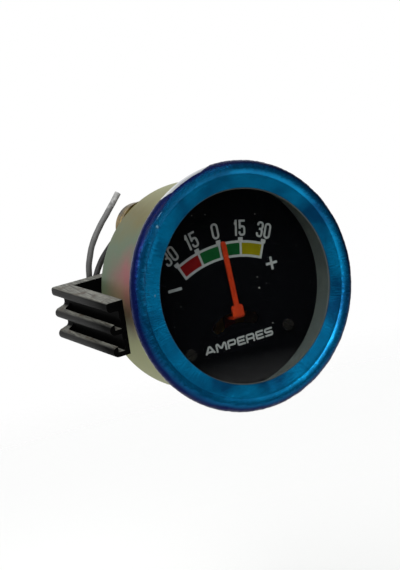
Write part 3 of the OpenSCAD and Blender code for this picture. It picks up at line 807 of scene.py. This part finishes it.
def smooth_window(value: float, low: float, high: float, soft: float) -> float:
    """Return 1 inside a range, with ends that fall off smoothly.

    Args:
        value: What is tested.
        low: The lower end.
        high: The upper end.
        soft: How far each end fades, to either side.

    Returns:
        The share from 0 to 1.
    """
    rise = min(max((value - low + soft) / (2 * soft), 0.0), 1.0)
    fall = min(max((high - value + soft) / (2 * soft), 0.0), 1.0)
    return rise * rise * (3 - 2 * rise) * fall * fall * (3 - 2 * fall)


# ---------- print on the dial ----------


class Glyph(Enum):
    """Strokes of each character in a unit cell, how round its corners are, and whether it closes."""

    ZERO = (0.5, True, (((0, 0.5), (0, 0), (1, 0), (1, 1), (0, 1)),))
    ONE = (0.0, False, (((0.72, 0), (0.72, 1)), ((0.6, 0.96), (0.2, 0.8))))
    THREE = (
        0.42,
        False,
        (
            ((0, 0.83), (0, 1), (1, 1), (1, 0.53), (0.5, 0.53)),
            ((0.5, 0.53), (1, 0.53), (1, 0), (0, 0), (0, 0.17)),
        ),
    )
    FIVE = (
        0.42,
        False,
        (
            ((0.95, 1), (0.06, 1)),
            ((0.06, 1), (0.06, 0.5)),
            ((0.1, 0.58), (1, 0.62), (1, 0), (0, 0), (0, 0.17)),
        ),
    )
    A = (0.0, False, (((0.03, 0.1), (0.42, 1), (0.58, 1), (0.97, 0.1)), ((0.25, 0.26), (0.75, 0.26))))
    M = (0.0, False, (((0, 0), (0, 1), (0.16, 1), (0.5, 0.25), (0.84, 1), (1, 1), (1, 0)),))
    P = (0.2, False, (((0, 0), (0, 1), (1, 1), (1, 0.36), (0.1, 0.36)),))
    E = (0.0, False, (((1, 1), (0, 1), (0, 0), (1, 0)), ((0.1, 0.5), (0.9, 0.5))))
    R = (0.2, False, (((0, 0), (0, 1), (1, 1), (1, 0.4), (0.1, 0.4)), ((0.5, 0.4), (0.95, 0.4), (0.95, 0))))
    S = (0.2, False, (((0.95, 1), (0, 1), (0, 0.5), (1, 0.5), (1, 0), (0.05, 0)),))
    MINUS = (0.0, False, (((0, 0.5), (1, 0.5)),))
    PLUS = (0.0, False, (((0, 0.5), (1, 0.5)), ((0.5, 0), (0.5, 1))))


@dataclass
class Pen:
    """A flat nib that draws one stroke on the dial as a strip of faces."""

    bm: bmesh.types.BMesh
    width: float
    level: float
    nib: list[bmesh.types.BMEdge] = field(default_factory=list)
    at: Vector = field(default_factory=lambda: Vector((0.0, 0.0)))
    way: float = 0.0

    def down(self, at: Vector, way: float) -> None:
        """Set the nib down across a direction.

        Args:
            at: The place of its middle, in the dial's plane.
            way: The direction of the stroke in radians.
        """
        side = Vector((-math.sin(way), math.cos(way))) * self.width / 2
        ends = [self.bm.verts.new((p.x, self.level, p.y)) for p in (at + side, at - side)]
        self.nib = [self.bm.edges.new(ends)]
        self.at, self.way = at, way

    def run(self, length: float) -> None:
        """Draw straight on.

        Args:
            length: How far the nib moves, in millimetres.
        """
        step = Vector((math.cos(self.way), math.sin(self.way))) * length
        grown = bmesh.ops.extrude_edge_only(self.bm, edges=self.nib)["geom"]
        self.nib = [item for item in grown if isinstance(item, bmesh.types.BMEdge)]
        verts = [item for item in grown if isinstance(item, bmesh.types.BMVert)]
        bmesh.ops.translate(self.bm, verts=verts, vec=(step.x, 0.0, step.y))
        self.at = self.at + step

    def bend(self, turn: float, radius: float) -> None:
        """Draw an arc.

        Args:
            turn: The angle in radians, to the left where positive.
            radius: The radius of the middle of the stroke.
        """
        side = Vector((-math.sin(self.way), math.cos(self.way))) * math.copysign(radius, turn)
        centre = self.at + side
        grown = bmesh.ops.spin(
            self.bm,
            geom=self.nib + list(self.nib[0].verts),
            cent=(centre.x, self.level, centre.y),
            axis=(0, -1, 0),
            angle=turn,
            steps=max(2, int(abs(turn) / 0.2)),
        )["geom_last"]
        self.nib = [item for item in grown if isinstance(item, bmesh.types.BMEdge)]
        self.at = centre + Matrix.Rotation(turn, 2) @ -side
        self.way += turn

    def stroke(self, points: Sequence[Vector], radius: float, closed: bool) -> None:
        """Draw a whole stroke with round corners and square ends.

        Args:
            points: The stroke's corners.
            radius: The radius of its corners, as far as there is room.
            closed: Whether it ends where it starts.
        """
        cap = Vector((0.0, 0.0)) if closed else (points[1] - points[0]).normalized() * self.width / 2
        line = [points[0] - cap, *points[1:]]
        tail = (points[-1] - points[-2]).normalized() * self.width / 2
        line.append(points[0] if closed else line.pop() + tail)
        steps = [b - a for a, b in zip(line, line[1:])]
        ways = [math.atan2(step.y, step.x) for step in steps]
        room = [step.length / (1 if i in (0, len(steps) - 1) else 2) for i, step in enumerate(steps)]
        self.down(line[0], ways[0])
        used = 0.0
        for i, step in enumerate(steps[:-1]):
            turn = (ways[i + 1] - ways[i] + math.pi) % math.tau - math.pi
            slope = math.tan(abs(turn) / 2)
            bend = max(min(radius, room[i] * 0.98 / slope, room[i + 1] * 0.98 / slope), self.width / 2 + 0.01)
            reach = bend * slope
            if step.length - used - reach > 0.002:
                self.run(step.length - used - reach)
            self.bend(turn, bend)
            used = reach
        self.run(steps[-1].length - used)


@dataclass
class Label:
    """A row of characters printed on the dial."""

    name: str
    glyphs: tuple[Glyph, ...]
    widths: tuple[float, ...]
    height: float
    stroke: float
    gap: float
    foot: float = 0.0
    angle: float = 0.0
    centre: tuple[float, float] = (0.0, 0.0)
    face: float = 7.5
    thickness: float = 0.04
    shift: float = 0.0

    def build(self) -> None:
        """Draw the row as thin raised ink, turned about its centre."""
        bm = bmesh.new()
        left = -(sum(self.widths) + self.gap * (len(self.widths) - 1)) / 2
        layer = 0
        for glyph, width in zip(self.glyphs, self.widths):
            softness, closed, strokes = glyph.value
            box = Vector((width - self.stroke, max(self.height - self.stroke, 0.0)))
            for corners in strokes:
                points = [
                    Vector((left + self.stroke / 2 + x * box.x, self.foot + self.stroke / 2 + y * box.y))
                    for x, y in corners
                ]
                # strokes that cross lie at slightly different levels
                layer = (layer + 1) % 3
                pen = Pen(bm, self.stroke, self.face - 0.004 - 0.006 * layer)
                pen.stroke(points, softness * box.x, closed)
            left += width + self.gap
        bmesh.ops.remove_doubles(bm, verts=bm.verts[:], dist=0.001)
        grown = bmesh.ops.extrude_face_region(bm, geom=bm.faces[:])
        lifted = [item for item in grown["geom"] if isinstance(item, bmesh.types.BMVert)]
        bmesh.ops.translate(bm, verts=lifted, vec=(0.0, -self.thickness, 0.0))
        bmesh.ops.rotate(bm, verts=bm.verts[:], matrix=Matrix.Rotation(math.radians(self.angle), 3, "Y"))
        bmesh.ops.translate(bm, verts=bm.verts[:], vec=(self.centre[0] + self.shift, 0.0, self.centre[1]))
        piece(self.name, bm, INK, "housing", smooth=False)


@dataclass
class DialPrint:
    """All that is printed on the dial: five numbers on an arc, the unit and the two signs."""

    pivot: tuple[float, float] = (0.0, -18.25)
    foot: float = 29.75
    numbers: tuple[tuple[float, str, tuple[Glyph, ...], tuple[float, ...]], ...] = (
        (-24.5, "left_thirty", (Glyph.THREE, Glyph.ZERO), (1.8, 1.85)),
        (-12.2, "left_fifteen", (Glyph.ONE, Glyph.FIVE), (1.1, 1.85)),
        (0.0, "zero", (Glyph.ZERO,), (1.95,)),
        (12.2, "right_fifteen", (Glyph.ONE, Glyph.FIVE), (1.1, 1.85)),
        (24.5, "right_thirty", (Glyph.THREE, Glyph.ZERO), (1.8, 1.85)),
    )
    unit: tuple[Glyph, ...] = (Glyph.A, Glyph.M, Glyph.P, Glyph.E, Glyph.R, Glyph.E, Glyph.S)
    unit_widths: tuple[float, ...] = (2.75, 2.95, 2.4, 2.25, 2.45, 2.25, 2.4)

    def build(self) -> None:
        """Print the numbers, the unit and the signs."""
        for angle, name, glyphs, widths in self.numbers:
            Label(
                f"print_{name}",
                glyphs,
                widths,
                height=3.9,
                stroke=0.52,
                gap=0.3,
                foot=self.foot,
                angle=angle,
                centre=self.pivot,
                shift=-0.25,
            ).build()
        Label("print_unit", self.unit, self.unit_widths, 2.1, 0.46, 0.3, centre=(-0.2, -14.88)).build()
        Label("print_minus", (Glyph.MINUS,), (3.65,), 0.7, 0.7, 0.0, centre=(-13.95, 2.15)).build()
        Label("print_plus", (Glyph.PLUS,), (3.2,), 3.2, 0.62, 0.0, centre=(13.1, 0.7)).build()


@dataclass
class DialDust:
    """A few grains of dust on the dial, each with its place and radius."""

    face: float = 7.46
    thickness: float = 0.05
    grains: tuple[tuple[float, float, float], ...] = (
        (-5.4, 18.5, 0.13),
        (-1.9, 17.9, 0.12),
        (11.4, 15.0, 0.13),
        (21.0, 4.8, 0.12),
        (8.4, 0.0, 0.14),
        (10.5, -2.1, 0.12),
        (8.3, -2.7, 0.24),
        (-13.4, -1.7, 0.12),
        (-16.2, -5.9, 0.12),
        (9.9, -12.0, 0.16),
    )

    def build(self) -> None:
        """Lay the grains down as flattened balls."""
        bm = bmesh.new()
        for x, z, radius in self.grains:
            shape = Matrix.Diagonal((radius, self.thickness, radius * 0.8, 1.0))
            place = Matrix.Translation((x, self.face, z)) @ shape
            bmesh.ops.create_icosphere(bm, subdivisions=2, radius=1.0, matrix=place)
        piece("dial_dust", bm, DUST, "housing")


# ---------- hardware ----------


@dataclass
class Hardware:
    """Studs and nuts of the terminals."""

    stud_x: float = 14.0
    stud_z: float = 2.0
    radius: float = 2.5
    pitch: float = 0.8
    flats: float = 8.0

    def turned(self, bm: bmesh.types.BMesh, side: int, profile: Sequence[tuple[float, float]]) -> list:
        """Spin a closed profile about one stud's axis.

        Args:
            bm: Where it goes.
            side: The stud, -1 on the left and 1 on the right.
            profile: Depth and radius of each corner.

        Returns:
            The faces, edges and points made.
        """
        axis = Vector((side * self.stud_x, 0.0, self.stud_z))
        before = set(bm.verts)
        ring = [bm.verts.new((axis.x + radius, depth, axis.z)) for depth, radius in profile]
        edges = [bm.edges.new(pair) for pair in zip(ring, ring[1:] + ring[:1])]
        bmesh.ops.spin(
            bm, geom=ring + edges, cent=axis, axis=(0, 1, 0), angle=math.tau, steps=60, use_merge=True
        )
        verts = [vert for vert in bm.verts if vert not in before]
        edges = {edge for vert in verts for edge in vert.link_edges}
        faces = {face for vert in verts for face in vert.link_faces}
        return [*verts, *edges, *faces]

    def hexagon(self, bm: bmesh.types.BMesh, side: int, geom: list) -> None:
        """Mill six flats on a turned blank.

        Args:
            bm: Where it is.
            side: The stud, -1 on the left and 1 on the right.
            geom: The blank's faces, edges and points.
        """
        axis = Vector((side * self.stud_x, 0.0, self.stud_z))
        for k in range(6):
            angle = math.radians(30 + 60 * k)
            way = Vector((math.cos(angle), 0.0, math.sin(angle)))
            geom = [item for item in geom if item.is_valid]
            cut = bmesh.ops.bisect_plane(
                bm,
                geom=geom,
                dist=0.0001,
                plane_co=axis + way * self.flats / 2,
                plane_no=way,
                clear_outer=True,
            )
            edges = [item for item in cut["geom_cut"] if isinstance(item, bmesh.types.BMEdge)]
            filled = bmesh.ops.contextual_create(bm, geom=edges)["faces"]
            geom = [*cut["geom"], *filled]

    def studs(self) -> None:
        """Cut the thread of both studs as a helix, with the hexagonal heads inside the can."""
        low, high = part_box("terminal_studs")
        front, end = low[1] / MM, high[1] / MM
        bm = bmesh.new()
        root = self.radius - 0.45
        turns = int((end - front) / self.pitch) + 3
        for side in (-1, 1):
            axis = Vector((side * self.stud_x, 0.0, self.stud_z))
            before = set(bm.verts)
            ridge = ((0.0, root), (0.36, self.radius), (0.46, self.radius), (self.pitch, root))
            start = front - self.pitch
            ring = [bm.verts.new((axis.x + radius, start + depth, axis.z)) for depth, radius in ridge]
            edges = [bm.edges.new(pair) for pair in zip(ring, ring[1:])]
            bmesh.ops.spin(
                bm,
                geom=ring + edges,
                cent=axis,
                axis=(0, 1, 0),
                dvec=(0.0, self.pitch / 28, 0.0),
                angle=math.tau * turns,
                steps=28 * turns,
            )
            verts = [vert for vert in bm.verts if vert not in before]
            bmesh.ops.remove_doubles(bm, verts=verts, dist=0.002)
            for depth, way in ((front + 1.4, -1.0), (end, 1.0)):
                verts = [vert for vert in bm.verts if vert not in before]
                edges = {edge for vert in verts for edge in vert.link_edges}
                faces = {face for vert in verts for face in vert.link_faces}
                cut = bmesh.ops.bisect_plane(
                    bm,
                    geom=[*verts, *edges, *faces],
                    dist=0.0001,
                    plane_co=(0.0, depth, 0.0),
                    plane_no=(0.0, way, 0.0),
                    clear_outer=True,
                )
                edges = [item for item in cut["geom_cut"] if isinstance(item, bmesh.types.BMEdge)]
                bmesh.ops.contextual_create(bm, geom=edges)
            corner = self.flats / 2 / math.cos(math.pi / 6)
            back = front + 1.5
            head = ((front, 0.4), (front, corner - 0.3), (front + 0.3, corner), (back, corner), (back, 0.4))
            self.hexagon(bm, side, self.turned(bm, side, head))
        piece("threaded_studs", bm, BRASS, "housing", ["terminal_studs"])

    def nuts(self, name: str, node: str, body: str) -> None:
        """Replace a pair of plain nuts by nuts with chamfered corners and a countersunk bore.

        Args:
            name: The piece's name.
            node: The CAD node with the two nuts.
            body: The body they move with.
        """
        low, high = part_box(node)
        front, back = low[1] / MM, high[1] / MM
        corner = self.flats / 2 / math.cos(math.pi / 6)
        bore = self.radius + 0.02
        drop = 0.3
        outline = (
            (front, corner - 0.5),
            (front + drop, corner),
            (back - drop, corner),
            (back, corner - 0.5),
            (back, bore + 0.35),
            (back - 0.35, bore),
            (front + 0.35, bore),
            (front, bore + 0.35),
        )
        bm = bmesh.new()
        for side in (-1, 1):
            self.hexagon(bm, side, self.turned(bm, side, outline))
        piece(name, bm, BRASS, body, [node])


@dataclass
class Clamp:
    """The moulded clamp, whose rib edges are rounder than the others."""

    rib_round: float = 0.5
    edge_round: float = 0.1
    sharp_from: float = 60.0

    def is_rib(self, edge: bmesh.types.BMEdge, outer: float) -> bool:
        """Return whether an edge runs along the depth on the outer face of a leg.

        Args:
            edge: The edge.
            outer: How far the legs reach from the middle.

        Returns:
            True for the long outer edges of the ribs.
        """
        way = edge.verts[1].co - edge.verts[0].co
        outside = min(abs(vert.co.x) for vert in edge.verts) > outer - 0.1
        return outside and abs(way.y) > 0.98 * way.length

    def build(self) -> None:
        """Copy the plain clamp and round the edges that a mould leaves soft."""
        bm = bmesh.new()
        bm.from_mesh(bpy.data.objects["clamp_bracket"].data)
        for vert in bm.verts:
            vert.co /= MM
        bmesh.ops.remove_doubles(bm, verts=bm.verts[:], dist=0.001)
        bmesh.ops.dissolve_limit(
            bm,
            angle_limit=math.radians(0.5),
            verts=bm.verts[:],
            edges=bm.edges[:],
            use_dissolve_boundaries=False,
        )
        outer = max(abs(vert.co.x) for vert in bm.verts)
        for offset, segments, ribs in ((self.rib_round, 4, True), (self.edge_round, 2, False)):
            sharp = [
                edge
                for edge in bm.edges
                if len(edge.link_faces) == 2
                and edge.calc_face_angle(0) > math.radians(self.sharp_from)
                and ribs == self.is_rib(edge, outer)
            ]
            bmesh.ops.bevel(
                bm,
                geom=sharp,
                offset=offset,
                segments=segments,
                profile=0.5,
                affect="EDGES",
                clamp_overlap=True,
                material=-1,
            )
        bmesh.ops.triangulate(bm, faces=[face for face in bm.faces if len(face.verts) > 4])
        piece("moulded_clamp", bm, NYLON, "clamp", ["clamp_bracket"])


# ---------- lead ----------


@dataclass
class Lead:
    """The lamp's lead: out of the holder, down behind the clamp and up again to its cut end."""

    diameter: float = 1.6
    lobes: int = 7
    twist: float = 1.6
    around: int = 28
    route: tuple[tuple[float, float, float], ...] = (
        (-9.8, 29.2, 17.3),
        (-9.8, 31.0, 17.3),
        (-9.8, 33.0, 17.2),
        (-10.0, 35.0, 16.9),
        (-10.4, 37.0, 16.4),
        (-11.0, 38.9, 15.5),
        (-12.0, 40.5, 14.2),
        (-13.1, 41.8, 12.8),
        (-14.4, 42.6, 11.3),
        (-15.7, 42.9, 9.8),
        (-16.9, 42.9, 8.2),
        (-18.1, 42.4, 6.7),
        (-19.5, 41.4, 5.6),
        (-20.8, 40.0, 5.1),
        (-21.7, 38.5, 5.5),
        (-22.1, 37.3, 6.9),
        (-22.0, 36.8, 8.8),
        (-21.6, 36.6, 10.7),
        (-20.8, 36.5, 12.8),
        (-19.7, 36.4, 15.1),
        (-18.2, 36.4, 17.2),
        (-16.3, 36.3, 19.5),
        (-14.2, 36.3, 21.6),
        (-11.9, 36.3, 23.9),
        (-9.6, 36.3, 26.3),
    )

    def curve(self, fine: int) -> list[Vector]:
        """Return the route as a smooth curve through its points.

        Args:
            fine: Steps between two points.

        Returns:
            The curve's points in millimetres.
        """
        points = [Vector(p) for p in self.route]
        padded = [2 * points[0] - points[1], *points, 2 * points[-1] - points[-2]]
        line = []
        for a, b, c, d in zip(padded, padded[1:], padded[2:], padded[3:]):
            for k in range(fine):
                t = k / fine
                line.append(
                    0.5
                    * (
                        2 * b
                        + (c - a) * t
                        + (2 * a - 5 * b + 4 * c - d) * t * t
                        + (3 * b - a - 3 * c + d) * t * t * t
                    )
                )
        return [*line, points[-1]]

    def section(self, angle: float, run: float) -> float:
        """Return the radius of the twisted strands.

        Args:
            angle: The direction in the section, in radians.
            run: The length from the holder, in millimetres.

        Returns:
            The radius in millimetres.
        """
        swell = 1.0 + 0.05 * noise.noise(Vector((run * 0.4, 0.0, 0.0)))
        groove = 1.0 - 0.02 * (1 - math.cos(self.lobes * angle + run * self.twist))
        return self.diameter / 2 * groove * swell * 0.98

    def build(self) -> None:
        line = self.curve(fine=6)
        bm = bmesh.new()
        uv = bm.loops.layers.uv.new("lead")
        angles = bm.verts.layers.float.new("angle")
        shares = bm.verts.layers.float.new("share")
        bmesh.ops.create_circle(bm, cap_ends=False, segments=self.around, radius=1.0)
        ring = bm.verts[:]
        for vert in ring:
            vert[angles] = math.atan2(vert.co.y, vert.co.x) % math.tau
        edges = bm.edges[:]
        side = Vector((1.0, 0.0, 0.0))
        run = 0.0
        for i, point in enumerate(line):
            way = (line[min(i + 1, len(line) - 1)] - line[max(i - 1, 0)]).normalized()
            side = (side - way * side.dot(way)).normalized()
            other = way.cross(side)
            if i:
                run += (point - line[i - 1]).length
                grown = bmesh.ops.extrude_edge_only(bm, edges=edges)["geom"]
                ring = [item for item in grown if isinstance(item, bmesh.types.BMVert)]
                edges = [item for item in grown if isinstance(item, bmesh.types.BMEdge)]
                edges = [edge for edge in edges if all(vert in ring for vert in edge.verts)]
            for vert in ring:
                angle = vert[angles]
                spoke = side * math.cos(angle) + other * math.sin(angle)
                vert.co = point + self.section(angle, run) * spoke
                vert[shares] = i / (len(line) - 1)
        for face in bm.faces:
            turns = [loop.vert[angles] / math.tau for loop in face.loops]
            wraps = max(turns) - min(turns) > 0.5
            for loop, turn in zip(face.loops, turns):
                loop[uv].uv = (loop.vert[shares], turn + 1 if wraps and turn < 0.5 else turn)
        ends = [edge for edge in bm.edges if edge.is_boundary]
        caps = bmesh.ops.holes_fill(bm, edges=ends, sides=0)["faces"]
        for loop in (loop for cap in caps for loop in cap.loops):
            loop[uv].uv = (loop.vert[shares], 0.5)
        made = piece("lamp_lead_strands", bm, LEAD, "housing", ["lamp_lead"])


# ---------- studio ----------


@dataclass
class Studio:
    """Camera, floor, lamps and surroundings."""

    focal: float = 84.19
    turn: float = -27.53
    nod: float = 0.89
    roll: float = -14.6
    offset: tuple[float, float, float] = (10.47, 0.27, 312.87)
    origin_depth: float = -1.3
    sky: float = 0.68
    bright_side: tuple[float, float, float] = (-0.47, -0.1, 0.87)

    def camera(self) -> None:
        """Place the camera where it sees the dial from its left."""
        basis = Matrix(((1, 0, 0), (0, 0, -1), (0, 1, 0)))
        turn = (
            Matrix.Rotation(math.radians(self.turn), 3, "Y")
            @ Matrix.Rotation(math.radians(self.nod), 3, "X")
            @ Matrix.Rotation(math.radians(self.roll), 3, "Z")
            @ basis
        )
        spot = -(turn.transposed() @ Vector(self.offset)) + Vector((0, self.origin_depth, 0))
        data = bpy.data.cameras.new("camera")
        data.lens = self.focal
        camera = bpy.data.objects.new("camera", data)
        bpy.context.scene.collection.objects.link(camera)
        axes = Matrix((turn[0], -turn[1], -turn[2])).transposed()
        camera.matrix_world = Matrix.Translation(spot * MM) @ axes.to_4x4()
        bpy.context.scene.camera = camera

    def world(self) -> None:
        """White to the camera. Elsewhere a room that is bright above and dark in front and below."""
        world = bpy.data.worlds.new("studio")
        world.use_nodes = True
        tree = world.node_tree
        tree.nodes.clear()
        way = add(tree, "TexCoord").outputs["Generated"]
        lift = add(tree, "VectorMath", {0: way, 1: self.bright_side}, operation="DOT_PRODUCT")
        tone = add(tree, "MapRange", {"Value": lift.outputs["Value"], "From Min": -1.0, "From Max": 1.0})
        room = add(
            tree,
            "ValToRGB",
            {"Fac": tone.outputs[0]},
            stops=[(0.0, "0C0D0E"), (0.44, "141618"), (0.58, "8C9298"), (0.72, "F0F2F4"), (1.0, "FFFFFF")],
        )
        light = add(tree, "Background", {"Color": room.outputs["Color"], "Strength": self.sky})
        seen = add(tree, "Background", {"Color": (1, 1, 1, 1), "Strength": 1.0})
        # metal and glass see the white backdrop behind the part, and a dim room in front of it
        depth = add(tree, "SeparateXYZ", {0: way}).outputs["Y"]
        behind = add(tree, "MapRange", {"Value": depth, "From Min": 0.35, "From Max": 0.6}).outputs[0]
        rays = add(tree, "LightPath").outputs
        glossy, through = rays["Is Glossy Ray"], rays["Is Transmission Ray"]
        shiny = add(tree, "Math", {0: glossy, 1: through}, operation="MAXIMUM")
        backdrop = add(tree, "Math", {0: shiny.outputs[0], 1: behind}, operation="MULTIPLY")
        white = add(tree, "Math", {0: backdrop.outputs[0], 1: rays["Is Camera Ray"]}, operation="MAXIMUM")
        mixed = add(tree, "MixShader", {"Fac": white.outputs[0], 1: light.outputs[0], 2: seen.outputs[0]})
        add(tree, "OutputWorld", {"Surface": mixed.outputs[0]})
        bpy.context.scene.world = world

    def lamp(self, name: str, spot: tuple[float, float, float], size: float, watts: float) -> None:
        """Hang one soft square lamp that shines at the part.

        Args:
            name: The lamp's name.
            spot: Its place in metres.
            size: The length of its side in metres.
            watts: Its power.
        """
        data = bpy.data.lights.new(name, "AREA")
        data.size = size
        data.energy = watts
        lamp = bpy.data.objects.new(name, data)
        bpy.context.scene.collection.objects.link(lamp)
        aim = Vector((0.0, 0.01, 0.0)) - Vector(spot)
        lamp.matrix_world = Matrix.Translation(spot) @ aim.to_track_quat("-Z", "Y").to_matrix().to_4x4()

    def floor(self) -> None:
        """Lay a pale round floor below the part. It fades out towards its edge."""
        bm = bmesh.new()
        bmesh.ops.create_circle(bm, cap_ends=True, segments=96, radius=0.6)
        bmesh.ops.translate(bm, verts=bm.verts[:], vec=(0.0, 0.0, -0.12))
        mesh = bpy.data.meshes.new("floor")
        bm.to_mesh(mesh)
        bm.free()
        made = bpy.data.objects.new("floor", mesh)
        mesh.materials.append(Paper("pale_paper_floor", "F4F4F2", 0.9).material())
        bpy.context.scene.collection.objects.link(made)


def main() -> None:
    """Set the view, the camera and the lead first, then the studio, the finishes and the pieces."""
    logging.basicConfig(level=logging.INFO)
    bpy.context.scene.view_settings.view_transform = "Standard"
    studio = Studio()
    studio.camera()
    Lead().build()
    studio.world()
    studio.floor()
    studio.lamp("key", (-0.34, -0.42, 0.5), 0.5, 4.2)
    dress_nodes()
    BezelFilm().build()
    DialPrint().build()
    DialDust().build()
    hardware = Hardware()
    hardware.studs()
    hardware.nuts("clamping_nuts", "clamp_nuts", "clamp")
    hardware.nuts("thin_nuts", "can_nuts", "housing")
    Clamp().build()


if __name__ == "__main__":
    main()
